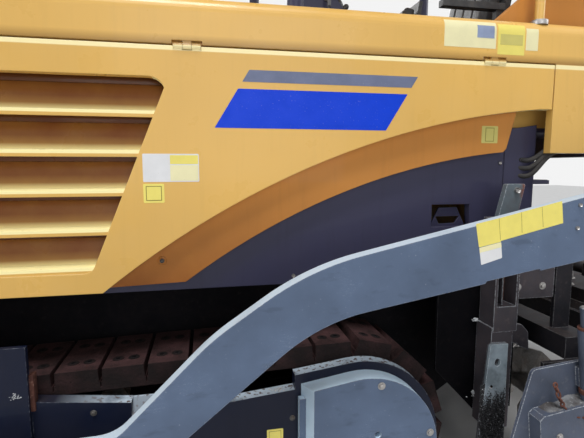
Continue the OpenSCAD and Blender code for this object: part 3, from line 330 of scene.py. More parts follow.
def crumbly_coat(name, deep, pale, speck):
    """A crumbly coat in three shades: rust on chains and collars, dried spatter, soil, and near black for a
    bolt seat.
    """
    f = Finish(name)
    spots = f.noise(80.0, 5.0)
    base = f.mix(f.noise(20.0, 4.0).ramp(0.35, 0.7), deep, pale)
    base = f.mix(spots.ramp(0.6, 0.8), base, speck)
    return f.shade(base, spots.ramp(0.3, 0.7, 0.7, 0.95), 0.0, f.bump(spots, 0.002, 0.7), specular=0.15)


def track_rubber(name):
    """Shoes and pads: red-brown dust packed on dark rubber, stone dents, end faces painted near black as
    painted shade.
    """
    f = Finish(name)
    ny = f.facing()[1]
    cloud = f.noise(10.0, 5.0)
    fine = f.noise(150.0, 4.0)
    dents = f.cells(42.0)
    base = f.mix(cloud.ramp(0.35, 0.68), (0.016, 0.009, 0.009), (0.055, 0.026, 0.027))
    base = f.mix(fine.ramp(0.5, 0.75) * 0.45, base, (0.085, 0.050, 0.046))
    base = f.mix(dents.ramp(0.16, 0.08) * cloud.ramp(0.5, 0.6), base, (0.006, 0.004, 0.004))
    # Painted shade: the end faces across the track painted near black
    ends = ny.size().ramp(0.6, 0.9) * cloud.ramp(0.4, 0.7, 1.0, 0.55)
    base = f.mix(ends * 0.85, base, (0.010, 0.008, 0.008))
    normal = f.bump(f.cells(75.0) * 0.5 + fine * 0.7 + cloud, 0.004, 0.6, f.soft_edge(0.004))
    return f.shade(base, fine.ramp(0.3, 0.7, 0.72, 0.95), 0.0, normal, specular=0.12)


def plain_rubber(name, colour):
    """Hose, sheet and grip rubber with a little dust."""
    f = Finish(name)
    cloud = f.noise(12.0, 4.0)
    fine = f.noise(300.0, 2.0)
    base = f.mix(cloud.ramp(0.4, 0.8) * 0.35, colour, (0.16, 0.14, 0.12))
    normal = f.bump(fine + cloud, 0.0006, 0.5, f.soft_edge(0.003))
    return f.shade(base, fine.ramp(0.3, 0.7, 0.55, 0.75), 0.0, normal, specular=0.25)


def plated_rod(name):
    """Ground and plated cylinder rod."""
    f = Finish(name)
    fine = f.noise(90.0, 3.0, vector=f.stretched((8.0, 8.0, 1.0)))
    base = f.mix(fine.ramp(0.4, 0.8), (0.62, 0.63, 0.65), (0.46, 0.45, 0.44))
    return f.shade(base, fine.ramp(0.3, 0.8, 0.12, 0.26), 1.0, f.bump(fine, 0.0001, 0.4))


def seat_vinyl(name, colour):
    """Grained black vinyl, greyer where it is rubbed."""
    f = Finish(name)
    cloud = f.noise(8.0, 3.0)
    base = f.mix(cloud.ramp(0.4, 0.8) * 0.4, colour, (0.11, 0.10, 0.09))
    return f.shade(base, cloud.ramp(0.3, 0.8, 0.42, 0.58), 0.0, f.bump(f.cells(420.0), 0.0006, 0.5))


def moulded_plastic(name, colour, rough=0.4):
    """Moulded plastic with a fine grain and dust."""
    f = Finish(name)
    cloud = f.noise(30.0, 3.0)
    base = f.mix(cloud.ramp(0.4, 0.8) * 0.3, colour, (0.20, 0.19, 0.18))
    grain = f.bump(f.cells(600.0) + cloud, 0.0003, 0.4, f.soft_edge(0.002))
    return f.shade(base, cloud.ramp(0.3, 0.8, rough - 0.06, rough + 0.12), 0.0, grain)


def clear_lens(name, colour):
    """Ribbed lamp lens."""
    f = Finish(name)
    y = f.axes()[1]
    ribs = ((y * 55.0).part() - 0.5).size()
    base = f.mix(ribs.ramp(0.1, 0.5), dark(colour, 0.7), colour)
    return f.shade(base, f.noise(60.0).ramp(0.3, 0.8, 0.06, 0.16), 0.0, f.bump(ribs, 0.002, 0.6), coat=0.6)


def vinyl_film(name, colour, faded):
    """Stuck-on film: fading, fine scuffs, a little dust."""
    f = Finish(name)
    cloud = f.noise(18.0, 4.0)
    fine = f.noise(160.0, 3.0)
    base = f.mix(cloud.ramp(0.35, 0.75), colour, dark(colour, faded))
    base = f.mix(fine.ramp(0.66, 0.74) * 0.4, base, (0.45, 0.42, 0.36))
    return f.shade(base, cloud.ramp(0.3, 0.7, 0.32, 0.45), 0.0, f.bump(fine, 0.0001, 0.3), specular=0.2)


def asphalt_crust(name):
    """Bitumen with grit stuck in it."""
    f = Finish(name)
    grit = f.cells(170.0)
    base = f.mix(grit.ramp(0.1, 0.45), (0.045, 0.046, 0.052), (0.006, 0.006, 0.008))
    # Pale specks: light grit, which also stands in for painted glints on the crust
    base = f.mix(f.noise(130.0, 2.0).ramp(0.62, 0.68) * 0.7, base, (0.30, 0.31, 0.33))
    return f.shade(base, grit.ramp(0.0, 0.5, 0.35, 0.7), 0.0, f.bump(grit, 0.006, 0.9), specular=0.35)


def wire_mesh(name):
    """Square wire mesh, with the opening between the wires painted near black as painted shade."""
    f = Finish(name)
    x, y, _ = f.axes()
    wire = ((x * 60.0).part() - 0.5).size().most(((y * 60.0).part() - 0.5).size()).ramp(0.38, 0.42)
    base = f.mix(wire, (0.004, 0.004, 0.005), (0.09, 0.09, 0.095))
    return f.shade(base, f.noise(60.0).ramp(0.3, 0.7, 0.5, 0.7), 0.0, f.bump(wire, 0.003, 0.8), specular=0.2)


def checker_plate(name, colour, metal=0.6):
    """Rolled plate with raised bars that alternate in direction."""
    f = Finish(name)
    x, y, _ = f.axes()

    def bars_along(narrow, long, shift):
        """Bars in a square pattern, narrow along one diagonal and long along the other."""
        apart = [((way * bars_a_metre + shift).part() - 0.5).size() for way in (narrow, long)]
        return apart[0].ramp(0.12, 0.06) * apart[1].ramp(0.40, 0.30)
    bars_a_metre = 22.0
    bars = bars_along(x + y, x - y, 0.0).most(bars_along(x - y, x + y, 0.5))
    cloud = f.noise(9.0, 4.0)
    base = f.mix(cloud.ramp(0.35, 0.7), dark(colour, 0.7), colour)
    base = f.mix(bars * 0.7, base, (0.42, 0.41, 0.40))
    normal = f.bump(bars, 0.002, 0.8, f.soft_edge(0.002))
    return f.shade(base, cloud.ramp(0.3, 0.7, 0.4, 0.65), bars.ramp(0.0, 1.0, metal * 0.4, metal), normal)


# Modelling helpers

LEFT, RIGHT = 1.0, -1.0
SIDES = ((LEFT, "left"), (RIGHT, "right"))
UP = (0, 0, 1)
# How deep fittings sink into the face that carries them, how deep films do, and the step from film to film
SUNK = 0.0006
STUCK = 0.0001
LAYER = 0.0001


def finished(name, edit, materials, body, smooth=35.0):
    """Turns a bmesh into a piece that rides on a body and takes its finishes by name."""
    bmesh.ops.recalc_face_normals(edit, faces=edit.faces)
    mesh = bpy.data.meshes.new(name)
    edit.to_mesh(mesh)
    edit.free()
    for material in materials if isinstance(materials, (list, tuple)) else [materials]:
        mesh.materials.append(bpy.data.materials[material])
    mesh.shade_smooth()
    mesh.set_sharp_from_angle(angle=math.radians(smooth))
    made = bpy.data.objects.new(name, mesh)
    bpy.context.scene.collection.objects.link(made)
    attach(made, body)
    return made


def aimed(at, way):
    """The matrix that stands a shape at a place with its own Z along a direction."""
    return Matrix.Translation(at) @ Vector(way).to_track_quat("Z", "Y").to_matrix().to_4x4()


def edges_of(verts):
    return {edge for vert in verts for edge in vert.link_edges}


def verts_in(grown):
    return [part for part in grown if isinstance(part, bmesh.types.BMVert)]


def paint(verts, material):
    for vert in verts:
        for face in vert.link_faces:
            face.material_index = material


def add_block(edit, low, high, edge=0.002, material=0):
    """A block between two corners, with small rounded edges."""
    low, high = Vector(low), Vector(high)
    if high.y < low.y:
        low.y, high.y = high.y, low.y
    verts = bmesh.ops.create_cube(edit, size=1.0)["verts"]
    bmesh.ops.scale(edit, vec=high - low, verts=verts)
    bmesh.ops.translate(edit, vec=(low + high) / 2, verts=verts)
    paint(verts, material)
    if edge:
        bmesh.ops.bevel(edit, geom=list(edges_of(verts)), offset=edge, segments=2, profile=0.5,
                        affect="EDGES", material=-1)


def add_turned(edit, at, way, rings, sides=20, material=0, edge=0.0):
    """A turned shape: (distance along, radius) rings joined one after another."""
    for (d0, r0), (d1, r1) in zip(rings, rings[1:]):
        middle = Vector(at) + Vector(way).normalized() * (d0 + d1) / 2
        made = bmesh.ops.create_cone(edit, cap_ends=True, segments=sides, radius1=r0, radius2=r1,
                                     depth=d1 - d0, matrix=aimed(middle, way))
        paint(made["verts"], material)
        if edge:
            rims = [e for e in edges_of(made["verts"]) if len(e.link_faces) == 2
                    and e.calc_face_angle(0.0) > 1.0]
            bmesh.ops.bevel(edit, geom=rims, offset=edge, segments=2, profile=0.5, affect="EDGES",
                            material=-1)


def add_disc(edit, at, way, radius, thick, sides=20, material=0, edge=0.0):
    """A round plate or collar."""
    add_turned(edit, at, way, ((0.0, radius), (thick, radius)), sides, material, edge)


def add_screw(edit, at, way, size, washer=True, socket=False):
    """A hexagon or socket head on its washer, seated on a face."""
    way = Vector(way).normalized()
    base = Vector(at) - way * SUNK
    if washer:
        add_disc(edit, base, way, size * 1.45, size * 0.3, 18)
        base = base + way * size * 0.25
    if socket:
        made = bmesh.ops.create_cone(edit, cap_ends=True, segments=18, radius1=size, radius2=size * 0.92,
                                     depth=size * 0.9, matrix=aimed(base + way * size * 0.45, way))
        top = max({f for v in made["verts"] for f in v.link_faces},
                  key=lambda f: f.calc_center_median().dot(way))
        bmesh.ops.inset_region(edit, faces=[top], thickness=size * 0.42)
        bmesh.ops.translate(edit, vec=-way * size * 0.6, verts=top.verts)
    else:
        add_disc(edit, base, way, size, size * 0.75, 6, edge=size * 0.12)


def add_bolt_circle(edit, centre, radius, turns, size, washer=True):
    """Upright screws round a centre, at turns in degrees."""
    for turn in turns:
        way = math.radians(turn)
        place = Vector(centre) + Vector((math.cos(way), math.sin(way), 0.0)) * radius
        add_screw(edit, place, UP, size, washer)


def add_sheet(edit, corners, way, thick, round_off=0.0, material=0):
    """A flat plate from its corners, thickened along a direction, with rounded corners."""
    verts = [edit.verts.new(corner) for corner in corners]
    face = edit.faces.new(verts)
    if round_off:
        bmesh.ops.bevel(edit, geom=verts, offset=round_off, segments=4, profile=0.5, affect="VERTICES",
                        material=-1)
        face = [f for f in edit.faces if all(len(e.link_faces) == 1 for e in f.edges)][-1]
    face.material_index = material
    grown = bmesh.ops.extrude_face_region(edit, geom=[face])["geom"]
    bmesh.ops.translate(edit, vec=Vector(way) * thick, verts=verts_in(grown))


def add_film(edit, outline, side, out, thick, round_off=0.0, material=0):
    """A flat sheet on a side face that lies a distance out, from its outline as x and z."""
    add_sheet(edit, [(x, side * out, z) for x, z in outline], (0, side, 0), thick, round_off, material)


def rectangle(x0, z0, x1, z1):
    return (x0, z0), (x1, z0), (x1, z1), (x0, z1)


def through(points, steps=6):
    """A smooth route through points."""
    route = [Vector(p) for p in points]
    out = []
    for i in range(len(route) - 1):
        a, b, c, d = route[max(i - 1, 0)], route[i], route[i + 1], route[min(i + 2, len(route) - 1)]
        for k in range(steps):
            t = k / steps
            out.append(0.5 * (2 * b + (c - a) * t + (2 * a - 5 * b + 4 * c - d) * t * t
                              + (3 * b - a - 3 * c + d) * t ** 3))
    return out + [route[-1]]


def add_pipe(edit, route, radius, sides=10, material=0):
    """A round pipe grown along a route, ring by ring."""
    def ring_at(i):
        return aimed(route[i], (route[min(i + 1, len(route) - 1)] - route[max(i - 1, 0)]).normalized())
    last = ring_at(0)
    verts = bmesh.ops.create_circle(edit, cap_ends=True, radius=radius, segments=sides, matrix=last)["verts"]
    edges = list(edges_of(verts))
    for i in range(1, len(route)):
        grown = bmesh.ops.extrude_edge_only(edit, edges=edges)["geom"]
        verts = verts_in(grown)
        edges = [g for g in grown if isinstance(g, bmesh.types.BMEdge) and all(v in verts for v in g.verts)]
        now = ring_at(i)
        bmesh.ops.transform(edit, matrix=now @ last.inverted(), verts=verts)
        last = now
        paint(verts, material)
    bmesh.ops.contextual_create(edit, geom=edges)


def add_link(edit, at, way, across, long, wide, wire):
    """One chain link: a ring, pulled long."""
    ring = wide / 2 - wire
    start = bmesh.ops.create_circle(edit, radius=wire, segments=8, matrix=Matrix.Translation((ring, 0, 0))
                                    @ Matrix.Rotation(math.radians(90), 4, "X"))["verts"]
    before = set(edit.verts)
    bmesh.ops.spin(edit, geom=start + list(edges_of(start)), cent=(0, 0, 0), axis=(0, 0, 1), dvec=(0, 0, 0),
                   angle=math.tau, steps=16, use_merge=True, use_duplicate=False)
    verts = [v for v in start + [v for v in edit.verts if v not in before] if v.is_valid]
    for v in verts:
        v.co.y += math.copysign(long / 2 - ring - wire, v.co.y)
    way, across = Vector(way).normalized(), Vector(across).normalized()
    turn = Matrix((across, way, across.cross(way))).transposed().to_4x4()
    bmesh.ops.transform(edit, matrix=Matrix.Translation(at) @ turn, verts=verts)


def grip(edit, a, b, way, rise, radius, material=0):
    """A bent round handle that stands on two feet."""
    a, b, way = Vector(a), Vector(b), Vector(way).normalized()
    along = (b - a).normalized() * rise * 0.35
    up = way * rise
    sunk = way * 0.002
    add_pipe(edit, through([a - sunk, a + up * 0.6, a + up + along, b + up - along, b + up * 0.6,
                            b - sunk], 5), radius, 10, material)
    for foot in (a, b):
        add_turned(edit, foot - way * 0.001, way, ((0.0, radius * 2.2), (0.006, radius * 2.0)), 16, material)


def soft_form(name, size, cap, grooves):
    """A swollen cushion mesh: a block, remeshed, blown up with cloth pressure, then grooved at its seams."""
    edit = bmesh.new()
    verts = bmesh.ops.create_cube(edit, size=1.0)["verts"]
    bmesh.ops.scale(edit, vec=[length - cap * 1.1 for length in size], verts=verts)
    bmesh.ops.bevel(edit, geom=edit.edges[:], offset=0.020, segments=3, profile=0.5, affect="EDGES",
                    material=-1)
    mesh = bpy.data.meshes.new(name)
    edit.to_mesh(mesh)
    edit.free()
    made = bpy.data.objects.new(name, mesh)
    scene = bpy.context.scene
    scene.collection.objects.link(made)
    remesh = made.modifiers.new("remesh", "REMESH")
    remesh.mode = "VOXEL"
    remesh.voxel_size = 0.006

    def baked():
        return bpy.data.meshes.new_from_object(made.evaluated_get(bpy.context.evaluated_depsgraph_get()))
    mesh = baked()
    made.modifiers.clear()
    made.data = mesh
    still = [vert.co.copy() for vert in mesh.vertices]
    cloth = made.modifiers.new("swell", "CLOTH")
    cloth.settings.use_pressure = True
    cloth.settings.uniform_pressure_force = 4.0
    cloth.settings.effector_weights.gravity = 0.0
    cloth.point_cache.frame_start, cloth.point_cache.frame_end = 1, 20
    for step in range(1, 21):
        scene.frame_set(step)
    mesh = baked()
    scene.frame_set(1)
    made.modifiers.clear()
    made.data = mesh
    for vert, start in zip(mesh.vertices, still):
        moved = vert.co - start
        if moved.length > cap:
            vert.co = start + moved * (cap / moved.length)
    smooth = made.modifiers.new("smooth", "SUBSURF")
    smooth.levels = smooth.render_levels = 1
    mesh = baked()
    bpy.data.objects.remove(made)
    half = [length / 2 for length in size]
    # Half width and depth of a sewn seam, and where the outer one runs as a share of the cushion
    seam, rim_at = 0.006, 0.86
    for vert in mesh.vertices:
        u, v, w = (vert.co[k] / half[k] for k in range(3))
        depth = sum(math.exp(-((v - at) * half[1] / seam) ** 2) for at in grooves if abs(u) < rim_at)
        rim = math.exp(-((max(abs(u), abs(v)) - rim_at) * half[0] / seam) ** 2)
        vert.co.z -= math.copysign(seam * min(1.0, depth + rim * 0.8), w) * (abs(w) > 0.3)
    return mesh


# Places that follow the CAD nodes

BODY_Y = 1.030
BEAM_ROUND = 0.060
DECK_Z = 2.190
DOOR_TOP_Z = 2.008
STATION_Z = 1.750
PANEL_Y = 0.940
GUARD_Y = 1.095
ARM_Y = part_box("tow_arm_left")[1][1]
BAND_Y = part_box("arch_bands")[1][1]
LOUVRES, LOUVRE_Z, LOUVRE_PITCH = 5, 1.176, 0.144
TRACK_REAR_X, TRACK_FRONT_X, TRACK_MIDDLE_Z = -0.870, 2.030, 0.38
TOW_X, TOW_Z = 1.150, 0.520
SCREED_LIFT = 8.0
GATE_Y = 1.350
SEAT_X, SEAT_Y = -1.465, 0.520


def beam_face(z):
    """How far out the side beam's face is at a height, over its rounded upper edge too."""
    rise = z - (DECK_Z - BEAM_ROUND)
    return BODY_Y if rise <= 0 else BODY_Y - BEAM_ROUND + math.sqrt(max(0.0, BEAM_ROUND ** 2 - rise ** 2))


def lifted(x, y, z):
    """Where a place of the screed at its working height comes to with the screed carried up, as parked."""
    turn = math.radians(SCREED_LIFT)
    dx, dz = x - TOW_X, z - TOW_Z
    return Vector((TOW_X + dx * math.cos(turn) + dz * math.sin(turn), y,
                   TOW_Z - dx * math.sin(turn) + dz * math.cos(turn)))


SCREED_UP = lifted(0, 0, 1) - lifted(0, 0, 0)


# Sizes and colours

def colour_property(name, description, default):
    return bpy.props.FloatVectorProperty(name=name, description=description, subtype="COLOR", size=3, min=0.0,
                                         max=1.0, default=default)


def length_property(name, description, default):
    return bpy.props.FloatProperty(name=name, description=description, default=default, unit="LENGTH")


class PaverColours(bpy.types.PropertyGroup):
    body: colour_property("Body paint", "Paint of the hood, the doors and the wings", (0.75, 0.45, 0.115))
    band: colour_property("Band paint", "Paint of the sunk band beside the doors", (0.60, 0.25, 0.055))
    panel: colour_property("Panel paint", "Dark paint of the side panels and the station",
                           (0.046, 0.045, 0.090))
    arm: colour_property("Arm paint", "Blue-grey paint of the tow arms and covers", (0.090, 0.128, 0.205))
    stripe: colour_property("Stripe", "Blue of the stripe along the doors", (0.0, 0.048, 0.64))
    stripe_grey: colour_property("Grey stripe", "Grey of the narrow stripe along the doors",
                                 (0.165, 0.19, 0.29))


class PaverSizes(bpy.types.PropertyGroup):
    lens: bpy.props.FloatProperty(
        name="Lens", description="Focal length of the camera in millimetres", default=27.0,
        min=10.0, max=100.0)
    eye_height: length_property("Eye height", "Height of the camera over the ground", 1.57)
    screw: length_property("Screw size", "Half the width of the band screw's head", 0.009)
    film: length_property("Film thickness", "Thickness of labels and stripes", 0.0008)
    hose: length_property("Hose radius", "Radius of a hydraulic hose", 0.011)


def dress(names, material):
    for name in names:
        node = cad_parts[name]
        node.data.materials.clear()
        node.data.materials.append(material)


class PaverPaintNodes(bpy.types.Operator):
    """Give each CAD node its finish"""
    bl_idname = "paver.paint_nodes"
    bl_label = "Paint the nodes"

    def execute(self, context):
        colours = context.scene.paver_colours
        body, band, panel, arm = (tuple(getattr(colours, name)) for name in ("body", "band", "panel", "arm"))
        # Cream for dust, a pale chip colour that along the edges of the hood and the doors is also a painted
        # highlight, and black
        cream, chip_and_highlight, black = (0.66, 0.55, 0.36), (0.70, 0.52, 0.22), (0.022, 0.022, 0.024)
        # maker, name, the nodes that wear it, and its values
        for maker, name, nodes, values in (
                # The hood and the doors take the painted shadow under the beam and the painted highlight on
                # the doors' top edge
                (machine_paint, "body_yellow", "hood handrails", dict(
                    colour=body, dust=0.15, wear=0.3, gloss=0.3, grime=0.1, dusty=cream, chip=chip_and_highlight,
                    seam=True)),
                # Painted shade: the roof wears the body paint darkened against the strong light from above
                (machine_paint, "roof_yellow", "canopy_roof", dict(
                    colour=dark(body, 0.82), dust=0.2, wear=0.3, gloss=0.55, grime=0.1,
                    dusty=(0.40, 0.30, 0.15), shine=0.15)),
                # The doors also take brown painted shade in the louvre recesses, painted highlights on the
                # louvre blades and painted shade towards the bottom
                (machine_paint, "door_yellow", "door_left door_right", dict(
                    colour=body, dust=0.5, wear=0.3, gloss=0.3, grime=0.1, dusty=cream, chip=chip_and_highlight,
                    recess_shade_depths=(0.036, 0.066), low=(1.20, 1.60, 0.22), shine=0.25, seam=True)),
                (machine_paint, "wing_yellow", "wing_left wing_right", dict(
                    colour=body, dust=0.3, wear=0.6, gloss=0.4, grime=0.2, dusty=cream, spill=0.85)),
                # Band and side housings: painted shade towards the bottom; the housings wear this darker
                # amber instead of the body yellow as painted shade
                (machine_paint, "band_amber", "arch_bands side_housings", dict(
                    colour=band, dust=0.2, wear=0.3, gloss=0.4, grime=0.2,
                    low=(1.10, 1.50, 0.9, (0.16, 0.035, 0.004)), shine=0.12)),
                # Panels, station, console and canopy posts: painted shade towards the bottom
                (machine_paint, "panel_slate", "side_panels station console canopy_posts", dict(
                    colour=panel, dust=0.2, wear=0.3, gloss=0.42, dusty=(0.10, 0.085, 0.085),
                    low=(1.05, 1.45, 0.6), shine=0.25)),
                # Guards and tow brackets: the navy darkened as painted shade under the arms, dark brown dust
                # on top faces that is partly painted shade, and painted light on the open ledges
                (machine_paint, "guard_navy", "track_guards tow_brackets", dict(
                    colour=(0.006, 0.009, 0.024), dust=0.45, gloss=0.42, dusty=(0.075, 0.058, 0.048),
                    chip=(0.34, 0.37, 0.42), shine=0.15, ledge_light=(0.42, 0.50, 0.58))),
                # Arms and covers: painted sky light on top faces besides dust; the covers also take painted
                # light on faces turned to the front
                (arm_paint, "arm_blue_grey", "tow_arm_left tow_arm_right", dict(colour=arm)),
                (arm_paint, "cover_blue_grey", "drive_covers", dict(
                    colour=arm, sky=(0.56, 0.72, 0.86), front=0.9)),
                (dirty_steel, "worked_steel",
                 "auger_beam push_beam screed extension_left extension_right wing_barrel_left "
                 "wing_barrel_right lift_barrel_left lift_barrel_right", dict(colour=(0.014, 0.014, 0.019))),
                (dirty_steel, "shaded_steel", "tunnel_plates track_frames", dict(
                    colour=(0.003, 0.003, 0.004), soil=(0.012, 0.008, 0.007), amount=0.4, metal=0.0,
                    chalk=(0.011, 0.010, 0.011), rubbed=(0.05, 0.05, 0.055), shine=0.03)),
                # Chassis steel near black as painted shade
                (dirty_steel, "frame_steel", "chassis", dict(
                    colour=(0.006, 0.006, 0.008), soil=(0.030, 0.020, 0.018), amount=0.5, metal=0.0,
                    chalk=(0.018, 0.018, 0.020), rubbed=(0.14, 0.14, 0.15), shine=0.06)),
                (dirty_steel, "post_steel", "rear_posts", dict(
                    colour=(0.052, 0.047, 0.056), soil=(0.085, 0.050, 0.042), amount=0.7,
                    chalk=(0.11, 0.10, 0.105), rubbed=(0.70, 0.76, 0.82), plate=(0.34, 0.42, 0.48),
                    shine=0.3)),
                # The gate's bright rubbed edges are partly wear and partly a painted highlight on its top
                # edge
                (dirty_steel, "gate_steel", "end_gate_left end_gate_right", dict(
                    colour=(0.072, 0.088, 0.128), soil=(0.075, 0.060, 0.052), amount=0.5,
                    chalk=(0.15, 0.17, 0.20), rubbed=(0.72, 0.76, 0.80), shine=0.3)),
                (worn_metal, "worn_steel",
                 "conveyors auger_left auger_right push_roller_left push_roller_right exhaust",
                 dict(colour=(0.32, 0.31, 0.30))),
                (worn_metal, "oily_castings", "engine sprockets track_rollers", dict(
                    colour=(0.10, 0.095, 0.09), metal=0.5, rough=0.5, rust=0.6)),
                (track_rubber, "dusty_pads", "tracks", {}),
                (plated_rod, "plated_rods", "wing_rod_left wing_rod_right lift_rod_left lift_rod_right", {}),
                (plain_rubber, "sheet_rubber", "hopper_apron", dict(colour=(0.025, 0.025, 0.026))),
                (seat_vinyl, "seat_vinyl", "seat_cushions", dict(colour=black)),
                (moulded_plastic, "seat_shell", "seat_bases", dict(colour=black, rough=0.5)),
                (moulded_plastic, "lamp_housing", "lamps", dict(colour=(0.05, 0.05, 0.055)))):
            dress(nodes.split(), maker(name, **values))
        # The rest are for small pieces, by their colours and how rough or faded they are
        for name, deep, pale, speck in (
                ("old_rust", (0.050, 0.020, 0.016), (0.145, 0.062, 0.045), (0.26, 0.17, 0.14)),
                ("dried_spatter", (0.40, 0.42, 0.44), (0.62, 0.63, 0.64), (0.22, 0.17, 0.14)),
                ("dried_soil", (0.060, 0.055, 0.055), (0.20, 0.205, 0.215), (0.34, 0.35, 0.37)),
                # Near black for the bolt seats of the pads and the plate
                ("pad_seat", (0.004, 0.003, 0.003), (0.014, 0.008, 0.008), (0.030, 0.016, 0.015))):
            crumbly_coat(name, deep, pale, speck)
        asphalt_crust("asphalt_crust")
        wire_mesh("wire_mesh")
        checker_plate("checker_plate", (0.060, 0.060, 0.065))
        clear_lens("lamp_glass", (0.75, 0.77, 0.80))
        for name, colour, rough in (
                ("black_plastic", (0.03, 0.03, 0.032), 0.4), ("grey_plastic", (0.18, 0.18, 0.19), 0.5),
                ("red_plastic", (0.55, 0.03, 0.02), 0.35), ("screen_glass", (0.012, 0.016, 0.022), 0.12)):
            moulded_plastic(name, colour, rough)
        for name, colour, faded in (
                ("stripe_blue", tuple(colours.stripe), 0.92),
                ("stripe_grey", tuple(colours.stripe_grey), 0.85),
                ("label_yellow", (0.86, 0.74, 0.18), 0.92), ("label_pale", (0.86, 0.80, 0.48), 0.92),
                ("label_white", (0.76, 0.76, 0.77), 0.92), ("label_olive", (0.62, 0.55, 0.17), 0.92),
                ("label_blue", (0.30, 0.36, 0.52), 0.8), ("label_frame", (0.30, 0.25, 0.06), 0.8)):
            vinyl_film(name, colour, faded)
        return {"FINISHED"}


class PaverLabels(bpy.types.Operator):
    """Stick the blank labels on the doors, the beams, the bands and the arms"""
    bl_idname = "paver.labels"
    bl_label = "Blank labels"

    def execute(self, context):
        film = context.scene.paver_sizes.film
        # name, body, distance out, two corners in x and z, material, and fields with corners and material
        flat = (
            ("door_plate", "door", BODY_Y, (-0.036, 1.514, -0.239, 1.618), "label_white",
             ((-0.134, 1.580, -0.236, 1.613, "label_yellow"), (-0.134, 1.518, -0.236, 1.576, "label_pale"))),
            ("door_mark", "door", BODY_Y, (-0.035, 1.436, -0.110, 1.507), "label_yellow",
             ((-0.044, 1.444, -0.101, 1.499, "label_frame"), (-0.047, 1.447, -0.098, 1.496, "label_yellow"))),
            ("band_mark", "tractor", BAND_Y, (-1.450, 1.673, -1.529, 1.747), "label_olive",
             ((-1.468, 1.680, -1.511, 1.740, "label_frame"), (-1.471, 1.683, -1.508, 1.737, "label_olive"))),
            ("guard_mark", "tractor", GUARD_Y, (-0.481, 0.430, -0.547, 0.520), "label_yellow",
             ((-0.489, 0.438, -0.539, 0.512, "label_frame"), (-0.491, 0.440, -0.537, 0.510, "label_yellow"))))
        for side, word in SIDES:
            for name, body, out, corners, material, fields in flat:
                edit = bmesh.new()
                names = [material]
                add_film(edit, rectangle(*corners), side, out - STUCK, film, 0.004)
                for count, (*corners, tint) in enumerate(fields):
                    if tint not in names:
                        names.append(tint)
                    proud = out - STUCK + film + LAYER * count
                    add_film(edit, rectangle(*corners), side, proud, 0.0003, 0.001, names.index(tint))
                rider = body + "_" + word if body == "door" else body
                finished(name + "_" + word, edit, names, rider)
            self.beam_labels(side, word, film)
            self.arm_label(side, word, film)
        return {"FINISHED"}

    def beam_labels(self, side, word, film):
        """Labels that follow the beam over its rounded upper edge."""
        on_label = 0.0006
        for name, (x0, x1, z0, z1), tint, proud in (
                ("beam_plate", (-1.228, -1.464, 2.059, 2.166), "label_pale", 0.0),
                ("beam_plate_field", (-1.376, -1.455, 2.100, 2.150), "label_blue", on_label),
                ("beam_mark", (-1.473, -1.600, 2.038, 2.162), "label_yellow", 0.0),
                ("beam_mark_field", (-1.484, -1.590, 2.078, 2.120), "label_olive", on_label),
                ("beam_end_mark", (-1.606, -1.665, 2.060, 2.150), "label_pale", 0.0)):
            edit = bmesh.new()
            grid = bmesh.ops.create_grid(edit, x_segments=2, y_segments=14, size=0.5)["verts"]
            for vert in grid:
                z = z0 + (vert.co.y + 0.5) * (z1 - z0)
                vert.co = (x0 + (vert.co.x + 0.5) * (x1 - x0), side * (beam_face(z) - STUCK + proud), z)
            bmesh.ops.recalc_face_normals(edit, faces=edit.faces)
            outward = sum(f.normal.y for f in edit.faces) * side > 0
            bmesh.ops.solidify(edit, geom=edit.faces[:], thickness=-film if outward else film)
            finished(name + "_" + word, edit, tint, "tractor")

    def arm_label(self, side, word, film):
        """The strip of four fields on the arm, with a small label below its front one."""
        edit = bmesh.new()
        face = ARM_Y - STUCK
        strip = ((-1.244, 1.359), (-1.343, 1.379), (-1.608, 1.439), (-1.620, 1.353), (-1.352, 1.292),
                 (-1.352, 1.288), (-1.261, 1.270))
        foot = ((-1.2625, 1.268), (-1.353, 1.287), (-1.361, 1.226), (-1.274, 1.202))
        head = ((-1.2625, 1.268), (-1.353, 1.287), (-1.356, 1.268), (-1.265, 1.249))
        # outline, distance out, thickness, rounding and material
        sheets = [(strip, face, film, 0.003, 0), (foot, face, film, 0.003, 1),
                  (head, face + film, 0.0002, 0.001, 2)]
        # Thin lines between the strip's four fields
        wide, rise = 0.0016, 0.004
        for x0, z0, x1, z1 in ((-1.338, 1.378, -1.349, 1.290), (-1.432, 1.399, -1.440, 1.316),
                               (-1.520, 1.419, -1.531, 1.336)):
            line = ((x0, z0), (x0 - wide, z0), (x1 - wide, z1 + rise), (x1, z1 + rise))
            sheets.append((line, face + film, 0.0002, 0.0, 3))
        for outline, out, thick, round_off, material in sheets:
            add_film(edit, outline, side, out, thick, round_off, material)
        finished("arm_strip_" + word, edit, ["label_yellow", "label_white", "label_pale", "label_frame"],
                 "screed_arms")


class PaverStripes(bpy.types.Operator):
    """Stick the plain blue and grey stripes on the doors"""
    bl_idname = "paver.stripes"
    bl_label = "Door stripes"

    def execute(self, context):
        film = context.scene.paver_sizes.film
        for side, word in SIDES:
            for name, outline in (
                    ("stripe_blue", ((-0.300, 1.716), (-0.985, 1.716), (-1.075, 1.862), (-0.390, 1.862))),
                    ("stripe_grey", ((-0.406, 1.888), (-1.091, 1.888), (-1.118, 1.932), (-0.433, 1.932)))):
                edit = bmesh.new()
                add_film(edit, outline, side, BODY_Y - STUCK, film, 0.002)
                finished(name + "_" + word, edit, name, "door_" + word)
        return {"FINISHED"}


